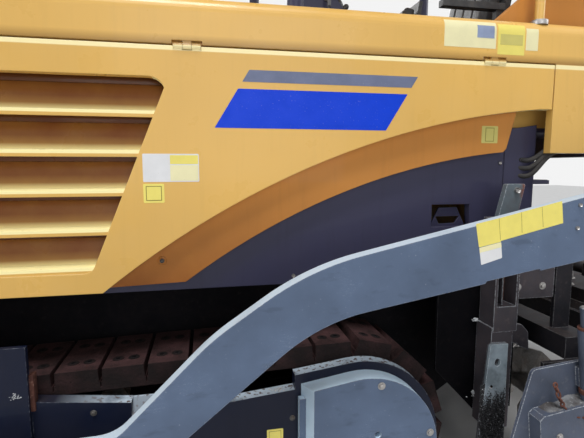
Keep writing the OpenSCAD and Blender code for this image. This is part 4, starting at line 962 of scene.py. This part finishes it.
class PaverLouvreBacks(bpy.types.Operator):
    """Close the slits behind the doors' louvres with strips that stand on the blades"""
    bl_idname = "paver.louvre_backs"
    bl_label = "Louvre backs"

    def execute(self, context):
        above_blade, tall = 0.121, 0.044
        for side, word in SIDES:
            edit = bmesh.new()
            for i in range(LOUVRES):
                low = LOUVRE_Z + i * LOUVRE_PITCH + above_blade
                # The opening's rear edge leans forward as it goes down
                rear = 0.1479 - 0.411 * (low - 1.201) - 0.015
                # The strips sit at the depth where the door paint is darkest brown, as painted shade
                add_block(edit, (rear, side * 0.9445, low), (1.096, side * 0.9495, low + tall), 0.0005)
            finished("louvre_backs_" + word, edit, "door_yellow", "door_" + word)
        return {"FINISHED"}


class PaverScrews(bpy.types.Operator):
    """Set the screws and bolts of covers, panels, posts and arms"""
    bl_idname = "paver.screws"
    bl_label = "Screws and bolts"

    def execute(self, context):
        size = context.scene.paver_sizes.screw
        # name, body, slot, material, distance out, head size, socket head, places as x and z
        groups = (
            ("cover_screws", "tractor", "grey_blue_paint", "worn_steel", 1.175, 0.011, False,
             ((-0.932, 0.702), (-1.151, 0.478))),
            ("flange_screws", "tractor", "slate_paint", "oily_castings", GUARD_Y, 0.008, False,
             ((-0.585, 0.560), (-0.200, 0.590), (-0.200, 0.340), (0.163, 0.667), (0.160, 0.330),
              (0.950, 0.330))),
            ("plate_bolts", "tractor", "slate_paint", "pad_seat", 1.0878, 0.0055, True, ((-1.490, 0.599),)),
            ("channel_bolts", "tractor", "slate_paint", "old_rust", 0.990, 0.011, False,
             ((-1.585, 1.060), (-1.585, 1.220))),
            ("arm_screws", "screed_arms", "grey_blue_paint", "worn_steel", ARM_Y, 0.008, True,
             ((-1.690, 1.422), (-1.685, 1.332), (-2.480, 1.500), (-2.480, 1.400), (1.150, 0.585),
              (1.150, 0.455))),
            ("panel_screws", "tractor", "slate_paint", "worn_steel", PANEL_Y, 0.008, True,
             ((-1.579, 1.587), (-1.690, 1.300), (-1.690, 1.600), (-0.620, 1.110), (-1.200, 1.110))),
            ("post_screws", "tractor", "slate_paint", "worn_steel", 1.070, 0.013, True, ((-1.573, 1.470),)),
            ("hanger_screws", "tractor", "slate_paint", "worn_steel", 1.005, 0.012, False,
             ((-1.660, 1.180), (-1.790, 1.180), (-1.660, 1.020), (-1.790, 1.020))))
        # Rows across the machine: name, x, way along X, head size, places across and heights
        for name, x, way, head, across, heights in (
                ("hood_wall_screws", 1.240, 1.0, 0.009, (0.180, 0.540, 0.880), (1.640, 2.080)),
                ("beam_screws", -2.250, -1.0, 0.010, (0.360, 0.700, 1.040), (1.650, 1.730))):
            edit = bmesh.new()
            for y in across:
                for z in heights:
                    for side in (LEFT, RIGHT):
                        add_screw(edit, (x, side * y, z), (way, 0, 0), head)
            finished(name, edit, "worn_steel", "tractor")
        for side, word in SIDES:
            for name, body, slot, material, out, head, socket, places in groups:
                edit = bmesh.new()
                for x, z in places:
                    add_screw(edit, (x, side * out, z), (0, side, 0), head, not socket, socket)
                finished(name + "_" + word, edit, material, body)
            # The band's screw sits in a pressed ring
            edit = bmesh.new()
            x, z = -0.089, 1.206
            add_turned(edit, (x, side * (BAND_Y - 0.0005), z), (0, side, 0), ((0.0, 0.019), (0.0035, 0.013)),
                       24, 1)
            add_screw(edit, (x, side * (BAND_Y + 0.003), z), (0, side, 0), size, False, True)
            finished("band_screw_" + word, edit, ["oily_castings", "band_amber"], "tractor")
        return {"FINISHED"}


class PaverCrust(bpy.types.Operator):
    """Grow the asphalt crust on the slide plates and the soil along the end gates"""
    bl_idname = "paver.crust"
    bl_label = "Asphalt crust"

    def execute(self, context):
        chance = random.Random(5)
        for side, word in SIDES:
            # A standing patch on the slide plate, then the soil that lies along the gate's step
            edit = bmesh.new()
            grid = bmesh.ops.create_grid(edit, x_segments=56, y_segments=130, size=0.5)["verts"]
            for vert in grid:
                u, v = vert.co.x + 0.5, vert.co.y + 0.5
                rise = (0.86 + 0.08 * (1 - u) + 0.03 * math.sin(u * 21.0) - v) * 3.2
                fade = min(1.0, 7 * u, 7 * (1 - u)) * max(0.0, min(1.0, rise))
                stuck = chance.random() < 0.25 + fade and 0 < v < 1 and fade
                lump = chance.random() ** 1.6 * 0.018
                rough = lump * min(1.0, fade + 0.15) if stuck else 0.0
                vert.co = (-1.569 + u * 0.133, side * (1.087 + rough), 0.242 + v * 0.370)
            finished("plate_crust_" + word, edit, "asphalt_crust", "tractor", 60.0)
            edit = bmesh.new()
            grid = bmesh.ops.create_grid(edit, x_segments=150, y_segments=22, size=0.5)["verts"]
            for vert in grid:
                u, v = vert.co.x + 0.5, vert.co.y + 0.5
                heap = (1 - v) ** 1.4 * (0.55 + 0.45 * math.sin(u * 9.0) * math.sin(u * 23.0 + 1.0))
                fade = min(1.0, 9 * u, 9 * (1 - u), 8 * (1 - v))
                height = max(0.0, heap * 0.024 + chance.uniform(-0.002, 0.002)) * fade
                foot = lifted(-1.520 - u * 0.500, side * (1.3145 + v * 0.056), 0.2495)
                vert.co = foot + SCREED_UP * height
            finished("gate_soil_" + word, edit, "dried_soil", "extension_" + word, 60.0)
        return {"FINISHED"}


class PaverChain(bpy.types.Operator):
    """Hang the rusty chains on the end gates"""
    bl_idname = "paver.chain"
    bl_label = "Gate chains"

    def execute(self, context):
        for side, word in SIDES:
            edit = bmesh.new()
            y = side * 1.345
            points = through([(-1.575, y, 0.735), (-1.600, y + side * 0.012, 0.660),
                              (-1.640, y + side * 0.02, 0.610), (-1.700, y + side * 0.03, 0.596)], 4)
            across = Vector((0, 1, 0))
            for i in range(len(points) - 1):
                way = points[i + 1] - points[i]
                side_way = across if i % 2 else across.cross(way)
                add_link(edit, (points[i] + points[i + 1]) / 2, way, side_way, way.length * 1.32, 0.022,
                         0.0036)
            finished("gate_chain_" + word, edit, "old_rust", "extension_" + word)
        return {"FINISHED"}


class PaverHoses(bpy.types.Operator):
    """Run the hydraulic hoses and pipes"""
    bl_idname = "paver.hoses"
    bl_label = "Hoses and pipes"

    def execute(self, context):
        hose = context.scene.paver_sizes.hose
        for side, word in SIDES:
            edit = bmesh.new()
            for lift in (0.0, 0.035, 0.070):
                route = through([(-1.64, side * 0.90, 1.62 - lift), (-1.72, side * 0.955, 1.60 - lift),
                                 (-1.80, side * 0.99, 1.66 - lift / 2), (-1.95, side * 1.00, 1.72 - lift / 2),
                                 (-2.10, side * 1.02, 1.74 - lift / 2)])
                add_pipe(edit, route, hose, 10)
            finished("rear_hoses_" + word, edit, "sheet_rubber", "tractor")
        return {"FINISHED"}


class PaverSeats(bpy.types.Operator):
    """Pad the operators' seats"""
    bl_idname = "paver.seats"
    bl_label = "Seat cushions"

    def execute(self, context):
        seat_x, base_z, wide = SEAT_X, STATION_Z + 0.355, 0.405
        # name, size, cap on the swelling, seams, place in x and z, and turn
        forms = (
            ("seat_pad", (0.405, wide, 0.078), 0.010, (-0.42, 0.42), (seat_x + 0.030, base_z + 0.041), 0.0),
            ("seat_back", (0.545, wide, 0.088), 0.012, (-0.45, 0.0, 0.45), (seat_x - 0.222, base_z + 0.345),
             79.2))
        for name, size, cap, grooves, (x, z), turn in forms:
            form = soft_form(name, size, cap, grooves)
            for side, word in SIDES:
                mesh = form.copy()
                place = Matrix.Translation((x, side * SEAT_Y, z))
                mesh.transform(place @ Matrix.Rotation(math.radians(turn), 4, "Y"))
                mesh.materials.clear()
                mesh.materials.append(bpy.data.materials["seat_vinyl"])
                mesh.shade_smooth()
                made = bpy.data.objects.new(name + "_" + word, mesh)
                context.scene.collection.objects.link(made)
                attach(made, "tractor")
                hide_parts("seat_cushions")
            bpy.data.meshes.remove(form)
        return {"FINISHED"}


class PaverConsole(bpy.types.Operator):
    """Fit the operators' console: plate, screen, dials, switches and levers"""
    bl_idname = "paver.console"
    bl_label = "Console fittings"

    def execute(self, context):
        along, out = Vector((0.618, 0.0, 0.786)), Vector((-0.786, 0.0, 0.618))

        def at(u, y, h=0.0):
            return Vector((-0.955, y, 2.440)) + along * u + out * h

        def plate(edit, u, y, long, wide, h, thick, round_off, material):
            corners = [at(u + a * long / 2, y + b * wide / 2, h) for a, b in rectangle(-1, -1, 1, 1)]
            add_sheet(edit, corners, out, thick, round_off, material)
        # Height of the panel's face over the console's
        face = 0.003
        edit = bmesh.new()
        plate(edit, 0.0, 0.0, 0.160, 0.800, -0.0005, 0.004, 0.010, 0)
        plate(edit, 0.010, 0.0, 0.120, 0.200, face, 0.010, 0.008, 0)
        plate(edit, 0.012, 0.0, 0.092, 0.172, 0.0125, 0.001, 0.003, 2)
        for side in (LEFT, RIGHT):
            for k in range(6):
                y = side * (0.135 + k * 0.024)
                plate(edit, 0.045, y, 0.024, 0.017, face, 0.006, 0.002, 1)
                plate(edit, 0.045, y, 0.008, 0.010, 0.0085, 0.0012, 0.001, 4)
            for k in range(3):
                add_turned(edit, at(0.0, side * (0.150 + k * 0.045), face), out,
                           ((0.0, 0.012), (0.008, 0.011), (0.014, 0.009)), 16, 1)
            # Steering dial, drive lever with its boot, and stop button
            add_turned(edit, at(-0.020, side * 0.345, face), out,
                       ((0.0, 0.040), (0.006, 0.040), (0.030, 0.030), (0.034, 0.026)), 24, 0, 0.001)
            add_turned(edit, at(-0.045, side * 0.215, face), out,
                       ((0.0, 0.026), (0.010, 0.021), (0.018, 0.014), (0.075, 0.006), (0.080, 0.014),
                        (0.115, 0.016), (0.124, 0.010)), 16, 0)
            add_disc(edit, at(0.045, side * 0.345, face), out, 0.020, 0.004, 20, 4)
            add_turned(edit, at(0.045, side * 0.345, 0.006), out,
                       ((0.0, 0.010), (0.010, 0.010), (0.020, 0.015)), 20, 3)
            for u in (-0.070, 0.070):
                add_screw(edit, at(u, side * 0.385, face), out, 0.005, False, True)
        finished("console_panel", edit,
                 ["black_plastic", "grey_plastic", "screen_glass", "red_plastic", "label_yellow"],
                 "tractor")
        # The moulding at the console's foot, with a hand grip on each side
        edit = bmesh.new()
        add_block(edit, (-0.915, -0.435, 1.750), (-0.750, 0.435, 1.790), 0.006)
        for side in (LEFT, RIGHT):
            grip(edit, (-0.900, side * 0.424, 2.30), (-0.900, side * 0.424, 2.44), (0, side, 0), 0.045, 0.009,
                 1)
        finished("console_foot", edit, ["black_plastic", "grey_plastic"], "tractor")
        return {"FINISHED"}


class PaverLamps(bpy.types.Operator):
    """Glaze the roof lamps"""
    bl_idname = "paver.lamps"
    bl_label = "Lamp lenses"

    def execute(self, context):
        low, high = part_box("lamps")
        for name, x, way in (("front", high[0], 1.0), ("rear", low[0], -1.0)):
            edit = bmesh.new()
            for side in (LEFT, RIGHT):
                for inset, start, thick, material in ((0.005, -SUNK, 0.005, 0), (0.014, 0.004, 0.0030, 1)):
                    y0, y1, z0, z1 = 0.780 + inset, 0.980 - inset, 3.740 + inset * 0.8, 3.810 - inset * 0.8
                    face = x + way * start
                    add_sheet(edit, [(face, side * y0, z0), (face, side * y1, z0), (face, side * y1, z1),
                                     (face, side * y0, z1)], (way, 0, 0), thick, 0.008, material)
                for y in (0.788, 0.972):
                    add_screw(edit, (x + way * 0.0035, side * y, 3.775), (way, 0, 0), 0.0035, False, True)
            finished("lamp_faces_" + name, edit, ["black_plastic", "lamp_glass"], "tractor")
        return {"FINISHED"}


class PaverTread(bpy.types.Operator):
    """Lay the checker plates and anti-slip strips"""
    bl_idname = "paver.tread"
    bl_label = "Tread plates"

    def execute(self, context):
        # name, material, low and high corners in x and y, height of the face below, thickness
        flats = [("floor_tread", "checker_plate", -2.135, -1.030, -0.885, 0.885, STATION_Z, 0.004)]
        for k, z in enumerate((0.960, 1.222, 1.484, 1.746)):
            flats.append(("step_tread_%d" % k, "checker_plate", -2.434, -2.256, -0.262, 0.262, z, 0.003))
        for name, material, x0, x1, y0, y1, z, thick in flats:
            edit = bmesh.new()
            add_block(edit, (x0, y0, z - SUNK), (x1, y1, z + thick), 0.001)
            finished(name, edit, material, "tractor")
        for side, word in SIDES:
            edit = bmesh.new()
            for x0, x1, y0, y1 in ((-2.130, -0.740, 0.888, 0.962), (-0.110, 1.190, 0.700, 0.940)):
                add_block(edit, (x0, side * y0, DECK_Z - SUNK), (x1, side * y1, DECK_Z + 0.0025), 0.001)
            finished("deck_strips_" + word, edit, "sheet_rubber", "tractor")
            edit = bmesh.new()
            corners = [lifted(x, side * y, 0.275) - SCREED_UP * SUNK
                       for x, y in rectangle(-3.362, 0.036, -3.046, 1.270)]
            add_sheet(edit, corners, SCREED_UP, 0.0035, 0.004)
            finished("walkway_tread_" + word, edit, "checker_plate", "extension_" + word)
        return {"FINISHED"}


class PaverScreedFittings(bpy.types.Operator):
    """Fit handles, bolts and collars to the screed and its end gates"""
    bl_idname = "paver.screed_fittings"
    bl_label = "Screed fittings"

    def execute(self, context):
        edit = bmesh.new()
        x, top = -2.440, 0.402
        for y in (-0.95, -0.45, 0.45, 0.95):
            grip(edit, lifted(x, y - 0.075, top), lifted(x, y + 0.075, top), SCREED_UP, 0.045, 0.007)
            for dx in (-0.060, 0.085):
                for dy in (-0.16, 0.16):
                    add_screw(edit, lifted(x + dx, y + dy, top), SCREED_UP, 0.009)
        finished("screed_cover_fittings", edit, "worn_steel", "screed_arms")
        for side, word in SIDES:
            edit = bmesh.new()
            for x in (-1.726, -2.800):
                for low, high, radius in ((0.279, 0.300, 0.0355), (0.545, 0.556, 0.0305)):
                    add_disc(edit, lifted(x, side * GATE_Y, low), SCREED_UP, radius, high - low, 24, 0, 0.002)
                add_turned(edit, lifted(x, side * GATE_Y, 0.633), SCREED_UP,
                           ((0.0, 0.0185), (0.004, 0.016)), 20, 1, 0.001)
            finished("spindle_collars_" + word, edit, ["old_rust", "worn_steel"], "extension_" + word)
            edit = bmesh.new()
            grip(edit, lifted(-2.350, side * 1.300, 0.300), lifted(-2.180, side * 1.300, 0.300), (0, side, 0),
                 0.040, 0.008)
            for x in (-1.560, -1.900, -2.300):
                add_screw(edit, lifted(x, side * 1.376, 0.150), (0, side, 0), 0.010)
            finished("gate_fittings_" + word, edit, "worn_steel", "extension_" + word)
        return {"FINISHED"}


class PaverExhaust(bpy.types.Operator):
    """Add the heat shield, clamps and rain flap of the exhaust"""
    bl_idname = "paver.exhaust"
    bl_label = "Exhaust fittings"

    def execute(self, context):
        x, y, z = -0.300, -0.700, DECK_Z
        edit = bmesh.new()
        add_disc(edit, (x, y, z - 0.001), UP, 0.105, 0.010, 28, 0, 0.002)
        add_bolt_circle(edit, (x, y, z + 0.009), 0.090, range(0, 360, 60), 0.007)
        for low, high, radius in ((0.050, 0.360, 0.076), (0.062, 0.084, 0.080), (0.326, 0.348, 0.080),
                                  (0.424, 0.446, 0.050)):
            add_disc(edit, (x, y, z + low), UP, radius, high - low, 28, 0, 0.0015)
        # Slots pressed in the shield, in the mesh finish, whose holes are painted shade
        for ring in range(5):
            for k in range(14):
                turn = math.tau * (k + 0.5 * (ring % 2)) / 14
                way = Vector((math.cos(turn), math.sin(turn), 0.0))
                add_turned(edit, Vector((x, y, z + 0.120 + ring * 0.042)) + way * 0.0745, way,
                           ((0.0, 0.0075), (0.0022, 0.0065)), 8, 1)
        # Rain flap and its hinge
        add_disc(edit, (x, y, z + 0.765), (0.25, 0.0, 1.0), 0.051, 0.004, 24, 0, 0.001)
        add_block(edit, (x - 0.062, y - 0.012, z + 0.735), (x - 0.044, y + 0.012, z + 0.785), 0.003)
        finished("exhaust_fittings", edit, ["worn_steel", "wire_mesh"], "tractor")
        return {"FINISHED"}


class PaverPads(bpy.types.Operator):
    """Sink the bolt seats into the track pads"""
    bl_idname = "paver.pads"
    bl_label = "Pad bolt seats"

    def execute(self, context):
        shape = bmesh.new()
        shape.from_mesh(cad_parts["tracks"].data)
        bmesh.ops.remove_doubles(shape, verts=shape.verts, dist=0.00001)
        bmesh.ops.dissolve_limit(shape, angle_limit=math.radians(1.0), verts=shape.verts, edges=shape.edges)
        edits = {LEFT: bmesh.new(), RIGHT: bmesh.new()}
        for face in shape.faces:
            way, middle = face.normal, face.calc_center_median()
            reach = max(abs(v.co.y - middle.y) for v in face.verts)
            # A pad's running face spans the track and has about the area of one shoe
            if abs(way.y) > 0.01 or reach < 0.14 or not 0.030 < face.calc_area() < 0.080:
                continue
            centre = Vector((min(max(middle.x, TRACK_REAR_X), TRACK_FRONT_X), middle.y, TRACK_MIDDLE_Z))
            # Only the outer faces, and not those that stand on the ground
            if way.dot(middle - centre) < 0.2 or middle.z < 0.01:
                continue
            side = LEFT if middle.y > 0 else RIGHT
            along = way.cross(Vector((0, 1, 0)))
            for a in (-0.030, 0.030):
                for b in (-0.085, 0.085):
                    seat = middle + along * a + Vector((0, b, 0)) - way * 0.0004
                    add_turned(edits[side], seat, way, ((0.0, 0.023), (0.0016, 0.0215)), 14, 0)
                    add_turned(edits[side], seat + way * 0.0008, way, ((0.0, 0.0115), (0.0014, 0.0110)), 6, 1)
        shape.free()
        for side, word in SIDES:
            finished("pad_bolts_" + word, edits[side], ["pad_seat", "shaded_steel"], "tractor")
        return {"FINISHED"}


class PaverHopper(bpy.types.Operator):
    """Bolt the push beam, the wings and the front plates"""
    bl_idname = "paver.hopper"
    bl_label = "Hopper and push beam bolts"

    def execute(self, context):
        edit = bmesh.new()
        for side in (LEFT, RIGHT):
            for y in (0.240, 0.560):
                for z in (0.478, 0.562):
                    add_screw(edit, (3.160, side * y, z), (1, 0, 0), 0.012)
            add_disc(edit, (3.280, side * 0.7315, 0.520), (0, side, 0), 0.034, 0.006, 24, 0, 0.001)
            add_screw(edit, (3.280, side * 0.7370, 0.520), (0, side, 0), 0.020)
        finished("push_beam_bolts", edit, "worn_steel", "push_beam")
        for side, word in SIDES:
            edit = bmesh.new()
            # Countersunk bolts of the wear strip inside the wing, along its slope
            for k in range(9):
                x = 1.42 + k * 0.170
                add_turned(edit, (x, side * 1.310, 1.1645), (0, -side * 0.606, 0.795),
                           ((0.0, 0.013), (0.003, 0.011)), 16, 0)
            finished("wing_bolts_" + word, edit, "worn_steel", "wing_" + word)
            # Pressure pipe along the barrel of the wing cylinder and of the lift cylinder
            # name, body, the barrel's foot, its way, the pipe's side, the barrel's radius, the pipe's ends
            for name, body, foot, way, off, reach, start, end in (
                    ("wing_pipe", "wing_barrel", (2.750, side * 0.700, 0.430), (0, side * 0.671, 0.741),
                     (1, 0, 0), 0.043, 0.110, 0.520),
                    ("lift_pipe", "lift_barrel", (-2.300, side * 1.150, 1.800), (-0.1789, 0, -0.9839),
                     (-0.9839, 0, 0.1789), 0.040, 0.120, 0.560)):
                foot, way, off = Vector(foot), Vector(way).normalized(), Vector(off).normalized()
                edit = bmesh.new()
                a, b = foot + way * start, foot + way * end
                bend, run = off * (reach + 0.022), off * (reach + 0.024)
                route = [a + off * reach, a + bend, a + way * 0.03 + run, b - way * 0.03 + run, b + bend,
                         b + off * reach]
                add_pipe(edit, through(route, 4), 0.006, 10)
                for nut in (a, b):
                    add_disc(edit, nut + off * (reach - 0.004), off, 0.013, 0.016, 6, 0, 0.001)
                for share in (0.35, 0.7):
                    clamp = foot + way * (start + (end - start) * share - 0.008)
                    add_disc(edit, clamp, way, reach + 0.006, 0.016, 28, 0, 0.001)
                finished(name + "_" + word, edit, "worn_steel", body + "_" + word)
        return {"FINISHED"}


class PaverRails(bpy.types.Operator):
    """Bolt down the handrails and the canopy posts, and cover the air slots"""
    bl_idname = "paver.rails"
    bl_label = "Rail feet and air slots"

    def execute(self, context):
        rail_y, post_x, post_y = 0.985, -2.060, 0.780
        for side, word in SIDES:
            edit = bmesh.new()
            for x in (-1.700, -2.100):
                add_disc(edit, (x, side * rail_y, DECK_Z - 0.012), UP, 0.036, 0.020, 24, 0, 0.001)
                add_bolt_circle(edit, (x, side * rail_y, DECK_Z + 0.0075), 0.027, (30, 150, 270), 0.005,
                                False)
            for x in (-0.706, -0.614):
                for y in (0.734, 0.826):
                    add_screw(edit, (x, side * y, DECK_Z + 0.015), UP, 0.008)
            add_disc(edit, (post_x, side * post_y, STATION_Z - 0.001), UP, 0.070, 0.012, 28, 0, 0.002)
            add_bolt_circle(edit, (post_x, side * post_y, STATION_Z + 0.010), 0.053, (45, 135, 225, 315),
                            0.007)
            finished("rail_feet_" + word, edit, "worn_steel", "tractor")
            # Rain strip along the roof's edge
            edit = bmesh.new()
            add_block(edit, (-2.292, side * 1.1494, 3.744), (0.092, side * 1.1560, 3.762), 0.002)
            finished("roof_strip_" + word, edit, "black_plastic", "tractor")
        # Mesh sheets over the air slots, their holes painted near black as painted shade
        edit = bmesh.new()
        for y0, y1 in ((-0.640, -0.040), (0.040, 0.640)):
            add_block(edit, (0.215, y0, 2.142), (1.085, y1, 2.1506), 0.0)
        finished("slot_mesh", edit, "wire_mesh", "tractor")
        return {"FINISHED"}


class PaverSpatter(bpy.types.Operator):
    """Drop dried spatter and soil lumps on ledges, and add the plates inside the rear post"""
    bl_idname = "paver.spatter"
    bl_label = "Spatter and post plates"

    def execute(self, context):
        chance = random.Random(11)
        # centre, half spread, lump size and count of each patch of spatter, on the left side as on the right
        patches = (((-1.480, 0.966, 0.864), (0.014, 0.004, 0.010), 0.006, 26),
                   ((-1.500, 0.963, 0.500), (0.026, 0.004, 0.014), 0.005, 34),
                   ((-0.530, 1.070, 0.6745), (0.050, 0.016, 0.0015), 0.004, 40),
                   ((-1.480, 1.088, 0.590), (0.030, 0.001, 0.012), 0.003, 14),
                   ((0.414, 1.1152, 0.765), (0.018, 0.0005, 0.012), 0.003, 22))
        for side, word in SIDES:
            for count, (middle, spread, size, number) in enumerate(patches):
                edit = bmesh.new()
                for _ in range(number):
                    place = [middle[k] + chance.gauss(0.0, 0.5) * spread[k] for k in range(3)]
                    big = size * chance.uniform(0.35, 1.0)
                    turn = Matrix.Rotation(chance.uniform(0, math.tau), 4, "Z")
                    shape = Matrix.Diagonal((big * 1.5, big, big * 0.6, 1.0))
                    bmesh.ops.create_icosphere(edit, subdivisions=1, radius=1.0, matrix=Matrix.Translation(
                        (place[0], side * place[1], place[2])) @ turn @ shape)
                finished("spatter_%d_%s" % (count, word), edit, "dried_spatter",
                         "tractor", 50.0)
            # Flange and rusty plate in the channel of the rear post
            edit = bmesh.new()
            add_block(edit, (-1.5445, side * 0.9765, 0.960), (-1.5385, side * 1.060, 1.300), 0.0015, 0)
            add_block(edit, (-1.6025, side * 0.9765, 0.958), (-1.5440, side * 0.990, 1.330), 0.0015, 1)
            # Rusty upright behind the edge of the front guard
            add_block(edit, (0.354, side * 1.070, 0.700), (0.3695, side * 1.104, 0.836), 0.0015, 1)
            finished("post_plates_" + word, edit, ["post_steel", "old_rust"], "tractor")
        return {"FINISHED"}


class PaverStage(bpy.types.Operator):
    """Add the camera, the floor and the soft lamps"""
    bl_idname = "paver.stage"
    bl_label = "Studio"

    def execute(self, context):
        sizes = context.scene.paver_sizes
        scene = context.scene
        lens = bpy.data.cameras.new("photo_camera")
        lens.lens = sizes.lens
        lens.clip_start = 0.02
        camera = bpy.data.objects.new("photo_camera", lens)
        camera.location = (-0.26, 2.73, sizes.eye_height)
        camera.rotation_euler = (math.radians(83.2), 0.0, math.radians(168.8))
        scene.collection.objects.link(camera)
        scene.camera = camera

        f = Finish("studio_floor")
        f.shade(f.mix(f.noise(3.0, 3.0).ramp(0.3, 0.7), (0.60, 0.59, 0.58), (0.66, 0.655, 0.65)), 0.9)
        edit = bmesh.new()
        bmesh.ops.create_grid(edit, x_segments=1, y_segments=1, size=30.0)
        mesh = bpy.data.meshes.new("floor")
        edit.to_mesh(mesh)
        edit.free()
        floor = bpy.data.objects.new("floor", mesh)
        floor.data.materials.append(f.material)
        scene.collection.objects.link(floor)

        world = bpy.data.worlds.new("studio_sky")
        scene.world = world
        world.use_nodes = True
        tree = world.node_tree
        tree.nodes.clear()

        def node(kind, *inputs):
            """A node of the sky, with its first inputs set or linked."""
            made = tree.nodes.new(kind)
            for socket, value in zip(made.inputs, inputs):
                if isinstance(value, bpy.types.NodeSocket):
                    tree.links.new(value, socket)
                else:
                    socket.default_value = value
            return made
        # White where the camera, glass and polished faces look, and a weak blue light for the rest
        ray = node("ShaderNodeLightPath").outputs
        seen = ray["Is Camera Ray"]
        for kind in ("Is Transmission Ray", "Is Glossy Ray"):
            either = node("ShaderNodeMath", seen, ray[kind])
            either.operation = "MAXIMUM"
            seen = either.outputs[0]
        sky = node("ShaderNodeBackground", (0.80, 0.90, 1.0, 1.0), 0.16).outputs[0]
        back = node("ShaderNodeBackground", (1.0, 1.0, 1.0, 1.0), 0.9).outputs[0]
        node("ShaderNodeOutputWorld", node("ShaderNodeMixShader", seen, sky, back).outputs[0])

        # name, place, width (none for the sun) and power
        for name, place, wide, power in (
                ("overhead", (0.8, 2.6, 8.6), 0.0, 2.55),
                ("near_side", (-1.0, 9.0, 3.6), 5.0, 150.0),
                ("front", (8.5, 4.0, 4.0), 4.0, 220.0),
                ("rear", (-8.5, 1.0, 5.0), 4.0, 200.0),
                ("far_side", (0.0, -9.0, 5.5), 5.0, 430.0)):
            lamp = bpy.data.lights.new(name, "AREA" if wide else "SUN")
            lamp.energy = power
            if wide:
                lamp.shape = "SQUARE"
                lamp.size = wide
            else:
                lamp.angle = math.radians(24.0)
            made = bpy.data.objects.new(name, lamp)
            made.location = place
            aim = Vector((-0.2, 0.0, 1.0)) - Vector(place)
            made.rotation_euler = aim.to_track_quat("-Z", "Y").to_euler()
            scene.collection.objects.link(made)
        scene.view_settings.view_transform = "Standard"
        return {"FINISHED"}


class PaverPanel(bpy.types.Panel):
    """Lists the steps that build the paver's looks"""
    bl_idname = "VIEW3D_PT_paver"
    bl_label = "Paver"
    bl_space_type = "VIEW_3D"
    bl_region_type = "UI"
    bl_category = "Paver"

    def draw(self, context):
        for step in STEPS:
            self.layout.operator(step.bl_idname)


STEPS = (PaverPaintNodes, PaverLabels, PaverStripes, PaverLouvreBacks, PaverScrews, PaverCrust, PaverChain,
         PaverHoses, PaverSeats, PaverConsole, PaverLamps, PaverTread, PaverScreedFittings, PaverExhaust,
         PaverPads, PaverHopper, PaverRails, PaverSpatter, PaverStage)
GROUPS = (PaverColours, PaverSizes)


def register():
    for kind in GROUPS + STEPS + (PaverPanel,):
        bpy.utils.register_class(kind)
    bpy.types.Scene.paver_colours = bpy.props.PointerProperty(type=PaverColours)
    bpy.types.Scene.paver_sizes = bpy.props.PointerProperty(type=PaverSizes)


def unregister():
    del bpy.types.Scene.paver_sizes
    del bpy.types.Scene.paver_colours
    for kind in reversed(GROUPS + STEPS + (PaverPanel,)):
        bpy.utils.unregister_class(kind)


def main():
    register()
    for step in STEPS:
        getattr(bpy.ops.paver, step.bl_idname.split(".")[1])()


if __name__ == "__main__":
    main()
